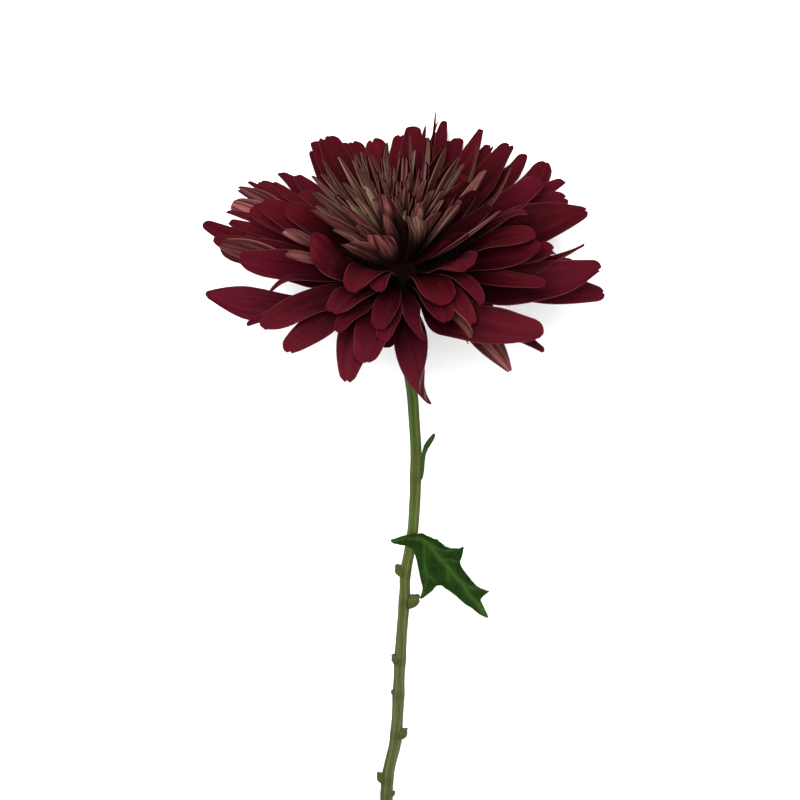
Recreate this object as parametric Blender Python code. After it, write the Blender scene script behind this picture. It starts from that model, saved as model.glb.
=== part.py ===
"""Disbud chrysanthemum: one large double bloom on a short cut stem, lying on its side on a table.

Metres, +Z up. The stem runs along -Y and rests on its cut end. The bloom faces +Y, a little upwards,
and rests on the florets of its lower rim. The origin is at the middle of the underside.

The florets are placed as a viewer sees them who looks down on the bloom's open side: "right", "up"
and "toward" the viewer, in millimetres from the bloom's centre. Florets that no viewer sees from there
follow a golden-angle spiral.
"""

import math
import random

import bmesh
import bpy
import numpy as np
from mathutils import Vector, geometry

MM = 0.001

# Where the bloom lies, and how it and its stem lean above the table.
BLOOM_CENTRE = Vector((-0.0008, 0.0766, 0.0530))
STEM_SLOPE_DEG = 12.5
BLOOM_NOD_DEG = 10.0
BLOOM_LEAN_DEG = STEM_SLOPE_DEG + BLOOM_NOD_DEG

# The viewer looks at the bloom from this far above its own plane, and from this distance.
VIEW_RISE_DEG = 30.0
VIEW_DISTANCE = 1.0
VIEW_AIM_UP = -38.5

# The bloom's core, in millimetres along and out from its axis.
CORE_RADIUS = 9.5
CORE_HEIGHT = 9.0
HEART_RADIUS = 7.2
HEART_BASE = 9.3
HEART_HEIGHT = 4.2
ROOT_DEPTH = 2.2

# Where florets grow from the core: how deep the heart's sit at its axis and its rim, as shares of the root
# depth, then how far in and how high the others sit, in millimetres, by the rise of their tips.
HEART_ROOT_SINK = (0.6, 1.3)
ROOT_TIP_RISE_DEG = (-20.0, 35.0)
ROOT_INSET = (2.2, 3.4)
ROOT_RISE = (1.6, 7.0)

# A floret's outline: the share of its width at its foot, and at a round end, which a point takes more off.
HEART_CLAW = 0.3
SPREAD_CLAW = 0.16
HEART_END = 0.6
SPREAD_END = 0.7
POINT_NARROWS = 0.8
END_ROUND = 1.8

# A floret's bend: steps along its spine, where its hook starts, and how its foot wraps round.
SPINE_STEPS = 65
HOOK_FROM = 0.72
FOOT_CUP_DEG = 115.0
FOOT_CUP_SPAN = 0.4

# The heart's florets stay inside this cone about the axis, and all others outside it.
CONE_APEX = 3.1
CONE_HALF_DEG = 52.0
CONE_SOFT_DEG = 2.5
CONE_NEAREST = 4.0
HEART_MARGIN = 0.9
SPREAD_MARGIN = 1.7

# Florets bend where the table is in their way.
PRESS_FROM = 9.0
PRESS_FLOOR = -1.3
PRESS_SLIDE = 0.5

# How thick florets are, in millimetres, and where along them their rings lie.
FLORET_THICK = 1.04
STATIONS = (0.0, 0.28, 0.6, 0.87, 1.0)
KEEL_THICK = 0.35
TIP_EDGE = 0.5
HEART_STATIONS = (0.0, 0.34, 0.74, 1.0)
HEART_SIDE = 0.62

SHARP_DEG = 50.0


def seen(
    right, up, toward, width, bow=4, cup=30, roll=0, hook=0, twist=0,
    sway=0.0, point=0.2, widest=0.66, waist=1.0, buff=0.5,
):
    """A floret by where the viewer sees its tip: right, up and nearer than the bloom's centre, in mm.

    Its width is in millimetres too. Bow, cup, roll, hook and twist are degrees: its bend back, how far it
    wraps round, how far its face turns to the viewer, and its tip's curl inwards and turn. Sway is its bend
    to the side and widest the place where it is, both as shares of its length. A large waist keeps its foot
    narrow for long. Its tip goes from round, 0, to pointed, 1, and its back from pink, 0, to buff, 1.
    """
    return dict(locals())


# Florets whose red faces show.
FACE_FLORETS = (
    # Hanging at the front.
    seen(9.2, -39.3, 47, 12.5, bow=12, cup=40, twist=-135, sway=-0.03, point=0.0, widest=0.6, buff=0.0),
    seen(8.2, -17.0, 46, 6.5, bow=18, cup=70, roll=-10, twist=-120, sway=-0.04, point=0.3, buff=0.0),
    seen(-19.2, -32.0, 53, 14.5, bow=12, sway=-0.06, point=0.7, widest=0.52),
    seen(-13.2, -25.4, 51, 13.0, bow=18, point=0.4),
    seen(-7.8, -14.0, 43, 8.6, bow=24, cup=25, point=0.1, widest=0.72),
    seen(-6.3, -18.0, 46, 8.0, bow=16, point=0.2),
    seen(-40.3, -21.8, 47, 12.5, bow=8, cup=40, roll=8, point=0.3, widest=0.66),
    seen(-49.0, -13.0, 43, 12.5, bow=10, cup=35, roll=15, point=0.3),
    seen(-54.2, -12.4, 38, 7.5, bow=4, roll=5, point=0.7),
    seen(-24.2, -8.0, 43, 12.0, bow=20, cup=25, point=0.3, widest=0.72),
    seen(-22.4, -14.7, 47, 8.5, bow=14, point=0.5),
    seen(-17.6, -0.8, 40, 12.0, bow=54, cup=40, point=0.3, widest=0.68),
    seen(-8.4, -0.6, 38, 8.5, bow=50, cup=50, sway=-0.05, point=0.3),
    seen(14.8, -5.2, 42, 12.5, bow=36, cup=30, point=0.1, widest=0.74),
    seen(15.4, -11.2, 47, 9.6, bow=20, cup=30, sway=0.03, point=0.2, widest=0.66),
    seen(24.5, -12.4, 40, 8.0, bow=38, cup=45, hook=-10, point=0.3),
    seen(27.7, -5.2, 42, 7.0, bow=32, cup=55, hook=-30, point=0.2),
    seen(48.2, -16.4, 46, 24.0, bow=0, cup=40, roll=8, sway=-0.20, point=0.3, widest=0.72, waist=2.0),
    seen(49.4, -21.6, 41, 7.5, bow=4, cup=40, point=0.6),
    seen(37.9, -28.6, 34, 9.5, bow=26, cup=40, roll=-150, point=1.0, widest=0.7, buff=0.0),
    seen(23.7, -17.8, 42, 13.5, bow=18, twist=130, point=0.8, buff=0.0),
    seen(23.4, 7.6, 40, 14.5, bow=34, cup=35, roll=32, hook=-20, point=0.0, widest=0.8),
    # Spread to the right.
    seen(69.8, 8.0, 16, 16.0, bow=-11, cup=40, roll=38, sway=-0.07, point=0.7, widest=0.62),
    seen(71.0, -1.6, 2, 12.5, bow=2, roll=30, point=0.5),
    seen(50.3, 1.9, 28, 6.8, bow=10, roll=25, point=0.2, widest=0.66),
    seen(63.8, 16.2, 10, 9.0, bow=-17, cup=50, roll=25, twist=40, sway=-0.06, point=0.85, widest=0.45),
    seen(48.5, 15.4, 24, 12.0, bow=12, roll=28, hook=25, point=0.2, widest=0.66),
    seen(53.2, 14.4, 18, 9.5, bow=10, roll=25, hook=20, point=0.2, widest=0.7),
    seen(46.8, 19.0, 22, 11.5, bow=24, cup=25, roll=12, point=0.15, widest=0.72),
    seen(64.9, 28.2, 2, 18.5, bow=5, cup=40, roll=38, twist=14, point=0.95, widest=0.6),
    seen(57.8, 32.6, -6, 13.0, bow=6, roll=20, point=0.35, widest=0.66),
    seen(43.8, 27.0, 14, 6.5, bow=34, hook=-20, point=0.3),
    seen(57.0, 38.0, -14, 10.5, bow=4, roll=12, point=0.6, widest=0.62),
    seen(49.4, 38.2, -4, 12.0, bow=6, cup=25, roll=18, point=0.3, widest=0.7),
    # Fanned out at the back, from right to left.
    seen(50.4, 45.0, -22, 14.5, bow=-4, roll=5, hook=40, point=0.4, widest=0.7),
    seen(43.2, 47.6, -28, 8.5, bow=0, hook=20, point=0.4, widest=0.7),
    seen(38.0, 51.2, -30, 11.5, bow=-4, roll=5, point=0.5, widest=0.64),
    seen(31.0, 50.7, -35, 7.5, bow=0, point=0.4),
    seen(27.8, 56.4, -35, 10.5, bow=-6, point=0.95, widest=0.56),
    seen(20.1, 52.9, -41, 9.0, bow=0, point=0.45, widest=0.66),
    seen(14.9, 59.0, -40, 8.6, bow=-6, cup=35, point=0.75, widest=0.56),
    seen(4.0, 56.8, -42, 10.5, bow=-6, point=0.35, widest=0.66),
    seen(-0.6, 53.3, -45, 9.0, bow=-2, point=0.3, widest=0.7),
    seen(-9.4, 52.4, -44, 10.6, bow=-5, point=0.2, widest=0.72),
    seen(-17.0, 51.6, -43, 9.6, bow=-4, point=0.2, widest=0.72),
    seen(-21.0, 51.2, -41, 7.5, bow=0, point=0.3),
    seen(-26.8, 53.8, -38, 12.5, bow=-8, cup=35, point=0.15, widest=0.7),
    seen(-30.8, 52.0, -39, 7.5, bow=-4, point=0.2),
    seen(-30.6, 49.2, -36, 11.5, bow=-6, cup=35, point=0.2, widest=0.7),
    seen(-43.0, 41.0, -34, 8.8, bow=2, point=0.55, widest=0.68),
    seen(-37.4, 40.0, -32, 9.0, bow=4, roll=5, point=0.6),
    seen(-49.8, 38.0, -29, 9.0, bow=0, point=0.5),
    seen(-45.8, 37.2, -26, 8.0, bow=4, point=0.7),
    seen(-54.0, 37.8, -24, 6.5, bow=2, point=0.8),
    seen(-57.4, 35.8, -19, 8.5, bow=4, cup=60, roll=-20, twist=-120, point=0.8, buff=0.0),
    seen(-59.5, 30.2, -17, 10.5, bow=4, cup=60, roll=-20, twist=-130, point=0.2, widest=0.7, buff=0.0),
    seen(-61.5, 27.4, -14, 8.0, bow=4, point=0.8),
    seen(-60.6, 23.8, -8, 11.5, bow=-4, roll=10, point=0.8),
    # Spread to the left.
    seen(-69.6, 23.4, 0, 13.0, bow=-17, cup=40, roll=20, point=0.8, widest=0.6),
    seen(-66.0, 18.0, 6, 14.0, bow=-8, cup=45, roll=20, point=0.8, widest=0.6),
    seen(-63.8, 15.8, 10, 12.0, bow=-6, cup=60, roll=-20, twist=-120, point=0.5, widest=0.66, buff=0.0),
    seen(-57.2, 11.0, 22, 14.5, bow=-2, roll=30, sway=0.03, point=0.5, widest=0.58),
    seen(-53.0, 28.6, -6, 12.0, bow=4, roll=15, point=0.3, widest=0.7),
    seen(-49.8, 29.9, 0, 12.4, bow=5, cup=25, roll=20, point=0.3, widest=0.7),
    seen(-41.0, 29.0, 2, 12.0, bow=8, cup=25, roll=22, point=0.3, widest=0.7),
    seen(-30.8, 20.8, 16, 19.0, bow=0, cup=30, roll=45, hook=20, sway=0.24, point=0.0, widest=0.7),
    seen(-41.6, 20.6, 8, 7.5, bow=-4, cup=70, roll=-20, twist=-90, point=0.3, buff=0.0),
    seen(-40.8, 12.8, 16, 6.5, bow=-4, cup=80, roll=-20, twist=-90, point=0.3, buff=0.0),
    seen(-69.0, -1.8, 12, 12.5, bow=-6, cup=35, roll=42, sway=0.15, point=0.9, widest=0.76, waist=3.0),
    seen(-46.5, -1.0, 30, 5.0, bow=-4, cup=40, hook=-50, sway=-0.05, point=0.8),
    # Behind the gaps of the upper right.
    seen(9.4, 52.0, -46, 9.0, bow=0, point=0.4),
    seen(17.4, 51.6, -43, 8.0, bow=0, point=0.3),
    seen(34.2, 48.2, -36, 8.5, bow=0, point=0.5),
    seen(41.6, 45.2, -32, 8.5, bow=0, point=0.7),
    seen(8.2, 57.0, -41, 4.2, bow=0, point=1.0, widest=0.5),
)
# Florets of the heart, which turn their buff backs outwards, in the same terms.
HEART_FLORETS = (
    # Spoons at the front, then the two hooked ones.
    seen(-10.4, 19.4, 28, 13.2, bow=-14, cup=110, roll=-14, point=0.0, widest=0.72, buff=0.0),
    seen(-20.8, 15.2, 31, 12.5, bow=-6, cup=110, roll=-40, point=0.4, widest=0.62, buff=0.1),
    seen(-16.0, 22.6, 23, 8.0, bow=0, cup=120, roll=-40, point=0.5, buff=0.1),
    seen(-24.2, 21.0, 26, 5.0, bow=6, cup=150, roll=-60, point=0.8, widest=0.5, buff=0.3),
    seen(1.8, 25.9, 33, 3.2, bow=-6, cup=70, roll=30, hook=20, sway=0.13, point=0.1, widest=0.74, buff=0.8),
    seen(5.0, 26.0, 31, 8.0, bow=-8, cup=130, roll=20, hook=30, sway=0.09, point=0.0, widest=0.8, buff=0.3),
    seen(7.6, 24.2, 28, 4.6, bow=-4, cup=160, roll=-20, sway=0.07, point=0.5, widest=0.65, buff=0.1),
    seen(6.0, 30.6, 24, 7.6, bow=-12, cup=140, hook=30, point=0.0, widest=0.78, buff=0.1),
    # In front of the quills, from left to right.
    seen(-7.0, 33.6, 29, 12.5, bow=-8, cup=110, roll=0, point=0.5, widest=0.55, buff=0.0),
    seen(-8.0, 31.2, 25, 8.0, bow=-4, cup=140, point=0.6, widest=0.55, buff=0.0),
    seen(-6.2, 26.6, 32, 6.5, bow=-6, cup=120, point=0.8, widest=0.5, buff=0.0),
    seen(13.7, 27.3, 22, 9.4, bow=0, cup=160, roll=-10, point=0.5, buff=0.0),
    seen(20.0, 30.0, 19, 5.8, bow=0, cup=240, roll=-20, sway=-0.12, point=0.1, widest=0.8, buff=0.3),
    seen(31.6, 28.8, 20, 10.5, bow=-4, cup=90, roll=25, sway=-0.08, point=0.5, widest=0.6, buff=0.0),
    seen(35.0, 27.6, 25, 7.0, bow=0, cup=120, roll=-10, sway=-0.22, point=0.7, widest=0.6, buff=0.1),
    seen(23.5, 18.5, 29, 8.5, bow=4, cup=70, roll=30, point=0.6, buff=0.0),
    seen(18.9, 34.0, 13, 9.4, bow=0, cup=140, roll=15, point=0.5, buff=0.0),
    seen(23.6, 37.6, 8, 10.0, bow=0, cup=100, roll=30, point=0.5, buff=0.0),
    seen(26.2, 34.4, 12, 9.0, bow=0, cup=110, roll=25, sway=-0.05, point=0.5, buff=0.0),
    seen(29.6, 41.8, 6, 10.5, bow=0, cup=210, roll=-40, sway=-0.11, point=0.5, widest=0.6, buff=0.1),
    seen(39.2, 41.9, 3, 5.6, bow=0, cup=240, roll=-40, sway=-0.20, point=0.8, widest=0.5, buff=0.1),
    seen(26.8, 51.4, -4, 5.0, bow=0, cup=240, roll=-40, sway=-0.14, point=0.9, widest=0.5, buff=0.4),
    # Turned away to the left.
    seen(-32.2, 39.4, 2, 9.0, bow=0, cup=240, roll=-30, sway=0.03, point=0.7, widest=0.5, buff=0.4),
    seen(-31.8, 34.0, 9, 11.0, bow=0, cup=230, roll=-30, sway=0.05, point=0.6, widest=0.55, buff=1.0),
    seen(-32.2, 27.6, 18, 10.5, bow=0, cup=220, roll=-30, sway=0.03, point=0.7, widest=0.5, buff=0.0),
    seen(-28.4, 45.3, -5, 6.0, bow=0, cup=250, roll=-40, sway=0.04, point=0.8, widest=0.5, buff=0.5),
    seen(-28.7, 40.4, 0, 8.4, bow=0, cup=250, roll=-40, sway=0.02, point=0.7, widest=0.5, buff=0.8),
    seen(-22.4, 46.4, -4, 7.4, bow=0, cup=260, roll=-50, sway=0.03, point=0.8, widest=0.5, buff=0.5),
    seen(-20.8, 37.6, 6, 7.6, bow=0, cup=260, roll=-40, point=0.7, widest=0.5, buff=0.4),
    seen(-21.6, 29.6, 17, 9.0, bow=0, cup=230, roll=-30, point=0.7, widest=0.5, buff=0.0),
    seen(-19.8, 31.6, 14, 7.4, bow=0, cup=250, roll=-30, point=0.7, widest=0.5, buff=0.9),
    # Quills at the back, from left to right.
    seen(-17.5, 45.5, -5, 6.0, bow=0, cup=300, roll=-30, point=0.6, widest=0.62, buff=0.5),
    seen(-16.6, 47.4, -7, 6.0, bow=0, cup=300, roll=20, point=0.7, widest=0.62, buff=0.4),
    seen(-14.4, 48.3, -9, 4.9, bow=0, cup=300, roll=-20, sway=0.03, point=0.7, widest=0.62, buff=0.8),
    seen(-12.2, 46.6, -6, 8.6, bow=0, cup=290, roll=30, point=0.6, widest=0.6, buff=0.2),
    seen(-10.7, 47.4, -8, 5.1, bow=0, cup=290, roll=-30, sway=-0.04, point=0.7, widest=0.62, buff=0.8),
    seen(-6.7, 46.6, -5, 6.5, bow=0, cup=300, roll=40, point=0.6, widest=0.62, buff=0.7),
    seen(-5.0, 51.6, -10, 9.4, bow=0, cup=280, roll=60, sway=0.03, point=0.7, widest=0.6, buff=0.45),
    seen(-0.5, 49.2, -9, 5.1, bow=0, cup=300, roll=10, point=0.7, widest=0.62, buff=0.4),
    seen(0.2, 46.9, -5, 8.9, bow=0, cup=300, roll=-20, point=0.6, widest=0.62, buff=0.1),
    seen(2.6, 54.2, -12, 8.5, bow=0, cup=280, roll=50, sway=-0.03, point=1.0, widest=0.42, buff=0.3),
    seen(4.6, 48.7, -6, 8.1, bow=0, cup=290, roll=-70, point=0.6, widest=0.6, buff=0.5),
    seen(9.1, 52.6, -10, 8.8, bow=0, cup=280, roll=60, sway=-0.03, point=0.5, widest=0.6, buff=0.5),
    seen(11.8, 62.2, -15, 3.9, bow=0, cup=200, sway=-0.03, point=1.0, widest=0.3, buff=0.0),
    seen(12.6, 58.8, -14, 3.2, bow=0, cup=200, sway=0.02, point=1.0, widest=0.3, buff=0.1),
    seen(15.4, 50.0, -6, 11.5, bow=0, cup=240, roll=-30, point=0.9, widest=0.6, buff=1.0),
    seen(20.2, 46.5, -2, 11.0, bow=0, cup=240, roll=-30, point=0.8, widest=0.62, buff=1.0),
    seen(20.4, 42.8, 1, 6.8, bow=0, cup=280, roll=-30, point=0.7, widest=0.62, buff=0.9),
    seen(22.0, 44.0, 0, 8.4, bow=0, cup=305, roll=-50, point=0.7, widest=0.55, buff=0.2),
    # Quills before them.
    seen(-15.8, 42.7, -1, 10.0, bow=0, cup=290, roll=-50, point=0.7, widest=0.62, buff=0.8),
    seen(-8.4, 41.3, 2, 7.6, bow=0, cup=300, roll=30, point=0.6, widest=0.62, buff=0.7),
    seen(-4.6, 43.8, -2, 7.4, bow=0, cup=300, roll=-30, point=0.6, widest=0.62, buff=0.3),
    seen(-3.1, 42.6, 0, 9.1, bow=0, cup=300, roll=30, point=0.7, widest=0.62, buff=0.5),
    seen(1.8, 46.2, -3, 9.1, bow=0, cup=300, roll=20, point=0.7, widest=0.62, buff=0.2),
    seen(3.2, 41.7, 2, 7.9, bow=0, cup=300, roll=-40, point=0.6, widest=0.62, buff=0.3),
    seen(8.1, 44.8, -1, 8.6, bow=0, cup=290, roll=60, point=0.5, widest=0.6, buff=0.1),
    seen(6.4, 42.6, 2, 7.6, bow=0, cup=300, roll=30, point=0.6, widest=0.62, buff=0.2),
    seen(-9.8, 36.8, 9, 7.6, bow=0, cup=300, roll=20, point=0.6, widest=0.62, buff=0.3),
    seen(-6.6, 38.6, 6, 7.4, bow=0, cup=300, roll=-20, point=0.6, widest=0.62, buff=0.6),
    seen(-1.8, 38.2, 6, 7.9, bow=0, cup=300, roll=40, point=0.6, widest=0.62, buff=0.4),
    seen(0.0, 38.2, 8, 7.4, bow=0, cup=290, hook=-40, point=0.5, widest=0.6, buff=0.5),
    seen(2.9, 39.5, 6, 9.1, bow=0, cup=290, roll=-60, point=0.7, widest=0.62, buff=0.2),
    seen(6.7, 39.2, 5, 7.4, bow=0, cup=300, roll=20, point=0.6, widest=0.62, buff=0.3),
    seen(8.6, 38.5, 8, 9.6, bow=0, cup=280, roll=-60, point=0.6, widest=0.55, buff=0.05),
    seen(11.2, 35.0, 12, 7.4, bow=0, cup=290, roll=-30, point=0.6, widest=0.62, buff=0.2),
    # The shortest quills, nearest the middle.
    seen(-16.5, 32.2, 12, 7.6, bow=0, cup=290, roll=-50, point=0.6, widest=0.62, buff=0.4),
    seen(-13.0, 36.4, 13, 8.8, bow=0, cup=280, roll=-60, sway=0.02, point=0.6, widest=0.62, buff=0.85),
    seen(-10.4, 31.6, 15, 7.9, bow=0, cup=290, roll=-30, point=0.6, widest=0.62, buff=0.1),
    seen(-4.2, 34.7, 10, 7.0, bow=0, cup=290, roll=30, point=0.6, widest=0.62, buff=0.6),
    seen(-2.4, 32.9, 13, 8.2, bow=0, cup=290, roll=-40, point=0.7, widest=0.62, buff=0.3),
    seen(-1.0, 34.3, 11, 7.0, bow=0, cup=290, roll=20, point=0.6, widest=0.62, buff=0.4),
    seen(1.1, 36.1, 13, 8.6, bow=0, cup=280, roll=-70, point=0.7, widest=0.62, buff=0.6),
    seen(2.4, 35.3, 14, 9.1, bow=0, cup=280, roll=60, sway=0.03, point=0.6, widest=0.62, buff=0.2),
    seen(4.4, 33.0, 15, 8.5, bow=0, cup=280, roll=50, point=0.7, widest=0.62, buff=0.2),
)
# Hidden florets, by the spiral: how many, from and to what rise above the bloom's plane, reach and width.
GOLDEN_DEG = 137.508
BACK_SPIRAL = {
    "count": 92, "rise": (-9.0, 34.0), "reach": (68.0, 50.0), "width": (12.0, 9.0), "left_out": (10, 23),
}
FRONT_SPIRAL = {
    "count": 34, "rise": (-14.0, 22.0), "reach": (33.0, 31.0), "width": (8.5, 7.0),
    "left_out": (1, 9, 12, 17, 25),
}
CROWN_SPIRAL = {
    "count": 64, "rise": (46.0, 88.0), "reach": (43.0, 30.0), "width": (8.0, 6.8), "left_out": (),
}
BACK_HALF_DEG = 78.0
CROWN_HALF_DEG = 100.0
CROWN_OPEN_RISE = 73.0
FOOT_AZIMUTHS_DEG = (-32.0, -14.0, 8.0, 30.0)
FOOT_RISE_DEG = -12.0
FOOT_DEPTH = 13.0
FOOT_WIDTH = 12.5
CLEAR_OF_NEIGHBOUR_DEG = 6.0
SEED = 7


def rotation_axes(lean_deg):
    """Axes of something that leans this far above the table: right, back and along its axis."""
    lean = math.radians(lean_deg)
    back = Vector((0.0, math.sin(lean), -math.cos(lean)))
    along = Vector((0.0, math.cos(lean), math.sin(lean)))
    return Vector((1.0, 0.0, 0.0)), back, along


BLOOM_AXES = np.array(rotation_axes(BLOOM_LEAN_DEG))


def seen_to_bloom(right, up, toward):
    """The bloom's own x, y (back) and z (axis) of a place the viewer sees at right and up, in millimetres."""
    nearer = 1.0 - toward * MM / VIEW_DISTANCE
    right *= nearer
    up = VIEW_AIM_UP + (up - VIEW_AIM_UP) * nearer
    rise = math.radians(VIEW_RISE_DEG)
    back = up * math.sin(rise) - toward * math.cos(rise)
    along = up * math.cos(rise) + toward * math.sin(rise)
    return np.array((right, back, along))


def bloom_to_world(points):
    """World metres of bloom millimetres."""
    return np.asarray(points) @ BLOOM_AXES * MM + np.array(BLOOM_CENTRE)


def soft_above(value, limit, softness):
    """The value, eased so that it never falls below the limit."""
    return limit + softness * np.logaddexp(0.0, (value - limit) / softness)


def keep_side_of_cone(points, heart):
    """Points moved, where need be, to their own side of the cone between the heart and the rest."""
    radius = np.hypot(points[..., 0], points[..., 1])
    rise = points[..., 2] - CONE_APEX
    distance = np.maximum(np.hypot(radius, rise), 4.0)
    angle = np.degrees(np.arctan2(radius, rise))
    margin = HEART_MARGIN if heart else SPREAD_MARGIN
    gap = np.degrees(margin / distance)
    if heart:
        moved = -soft_above(-angle, gap - CONE_HALF_DEG, CONE_SOFT_DEG)
        moved = np.maximum(moved, 0.0)
    else:
        moved = soft_above(angle, CONE_HALF_DEG + gap, CONE_SOFT_DEG)
    turned = np.radians(moved)
    shrink = np.where(radius > 1e-6, distance * np.sin(turned) / np.maximum(radius, 1e-6), 1.0)
    out = points.copy()
    out[..., 0] *= shrink
    out[..., 1] *= shrink
    out[..., 2] = CONE_APEX + distance * np.cos(turned)
    return out


def press(points):
    """World points, eased up and forwards where the table is in their way."""
    height = points[..., 2] / MM
    span = PRESS_FROM - PRESS_FLOOR
    low = PRESS_FLOOR + span * np.exp(np.minimum(height - PRESS_FROM, 0.0) / span)
    lift = np.where(height < PRESS_FROM, low - height, 0.0)
    out = points.copy()
    out[..., 2] += lift * MM
    out[..., 1] += lift * PRESS_SLIDE * MM
    return out


def smooth_step(value):
    value = np.clip(value, 0.0, 1.0)
    return value * value * (3.0 - 2.0 * value)


def root_of(tip, heart):
    """Where a floret grows from the core, a little way inside it."""
    out = np.array((tip[0], tip[1], 0.0))
    out /= max(np.linalg.norm(out), 1e-6)
    if heart:
        from_axis = math.atan2(math.hypot(tip[0], tip[1]), tip[2] - HEART_BASE)
        share = min(from_axis / math.radians(CONE_HALF_DEG), 1.0)
        radius = (HEART_RADIUS - ROOT_DEPTH) * share
        sink = HEART_ROOT_SINK[0] + (HEART_ROOT_SINK[1] - HEART_ROOT_SINK[0]) * share * share
        rise = HEART_BASE + HEART_HEIGHT - ROOT_DEPTH * sink
    else:
        rise_deg = math.degrees(math.atan2(tip[2], math.hypot(tip[0], tip[1])))
        share = float(np.interp(rise_deg, ROOT_TIP_RISE_DEG, (0.0, 1.0)))
        radius = CORE_RADIUS - (ROOT_INSET[0] + (ROOT_INSET[1] - ROOT_INSET[0]) * share)
        rise = ROOT_RISE[0] + (ROOT_RISE[1] - ROOT_RISE[0]) * share
    return out * radius + np.array((0.0, 0.0, rise))


def spine_shape(bow, hook):
    """A unit chord's curve in its own plane, with its direction, at even steps."""
    u = np.linspace(0.0, 1.0, SPINE_STEPS)
    curl = smooth_step((u - HOOK_FROM) / (1.0 - HOOK_FROM))
    angle = np.radians(bow) * (1.0 - 2.0 * u) + np.radians(hook) * curl
    step = u[1] - u[0]
    x = np.concatenate([[0.0], np.cumsum(np.cos((angle[1:] + angle[:-1]) / 2.0)) * step])
    y = np.concatenate([[0.0], np.cumsum(np.sin((angle[1:] + angle[:-1]) / 2.0)) * step])
    chord = math.hypot(x[-1], y[-1])
    turn = math.atan2(y[-1], x[-1])
    along = (x * math.cos(turn) + y * math.sin(turn)) / chord
    across = (y * math.cos(turn) - x * math.sin(turn)) / chord
    return u, along, across, angle - turn


def width_share(facts, u):
    """A floret's width along its length: a narrow claw, a blade, and an end that its round tip leaves."""
    widest, heart = facts["widest"], facts["heart"]
    claw = HEART_CLAW if heart else SPREAD_CLAW
    end = (HEART_END if heart else SPREAD_END) * (1.0 - POINT_NARROWS * facts["point"])
    rise = claw + (1.0 - claw) * np.sin(np.pi / 2.0 * np.clip(u / widest, 0.0, 1.0) ** facts["waist"])
    fall = 1.0 - (1.0 - end) * np.clip((u - widest) / (1.0 - widest), 0.0, 1.0) ** END_ROUND
    return np.where(u < widest, rise, fall)


def floret_points(floret, u, v):
    """The middle surface of a floret, in world metres, at u along it and v, -1 to 1, across it."""
    root, tip = floret["root"], floret["tip"]
    chord = tip - root
    length = np.linalg.norm(chord)
    ahead = chord / length
    flat = np.array((tip[0], tip[1], 0.0))
    flat /= max(np.linalg.norm(flat), 1e-6)
    side = np.cross((0.0, 0.0, 1.0), flat)
    side -= ahead * (side @ ahead)
    side /= np.linalg.norm(side)
    face = np.cross(ahead, side)

    steps, along, across, angle = spine_shape(floret["bow"], floret["hook"])
    x, y = np.interp(u, steps, along), np.interp(u, steps, across)
    heading = np.interp(u, steps, angle)[..., None]
    sway = floret["sway"] * 4.0 * u * (1.0 - u)
    spine = root + length * (x[..., None] * ahead + y[..., None] * face + sway[..., None] * side)
    up_face = face * np.cos(heading) - ahead * np.sin(heading)

    roll = np.radians(floret["roll"] + floret["twist"] * u**3)[..., None]
    normal = up_face * np.cos(roll) + side * np.sin(roll)
    sideways = side * np.cos(roll) - up_face * np.sin(roll)

    half = 0.5 * floret["width"] * width_share(floret, u)
    at_foot = np.clip(1.0 - u / FOOT_CUP_SPAN, 0.0, 1.0) ** 2
    cup = np.radians(floret["cup"] + (FOOT_CUP_DEG - floret["cup"]) * at_foot)
    turn = v * cup / 2.0
    radius = 2.0 * half / cup
    point = spine + sideways * (radius * np.sin(turn))[..., None]
    point = point + normal * (radius * (1.0 - np.cos(turn)))[..., None]
    return press(bloom_to_world(keep_side_of_cone(point, floret["heart"])))


def floret_normals(floret, u, v):
    """Unit normals of the face side of a floret's middle surface."""
    nudge = 0.01
    ahead = floret_points(floret, u + nudge, v) - floret_points(floret, u - nudge, v)
    across = floret_points(floret, u, v + nudge) - floret_points(floret, u, v - nudge)
    normal = np.cross(ahead, across)
    return normal / np.linalg.norm(normal, axis=-1)[..., None]


def floret(given, tip, heart, rng):
    """One floret's facts. A roll turns its face towards the viewer, whichever side it is on."""
    facts = dict(given)
    facts["tip"] = tip
    facts["root"] = root_of(tip, heart)
    facts["heart"] = heart
    facts["roll"] *= -1.0 if tip[0] > 0.0 else 1.0
    facts["sway"] += rng.uniform(-0.012, 0.012)
    return facts


def seen_florets(rows, heart, rng):
    return [floret(row, seen_to_bloom(row["right"], row["up"], row["toward"]), heart, rng) for row in rows]


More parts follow.
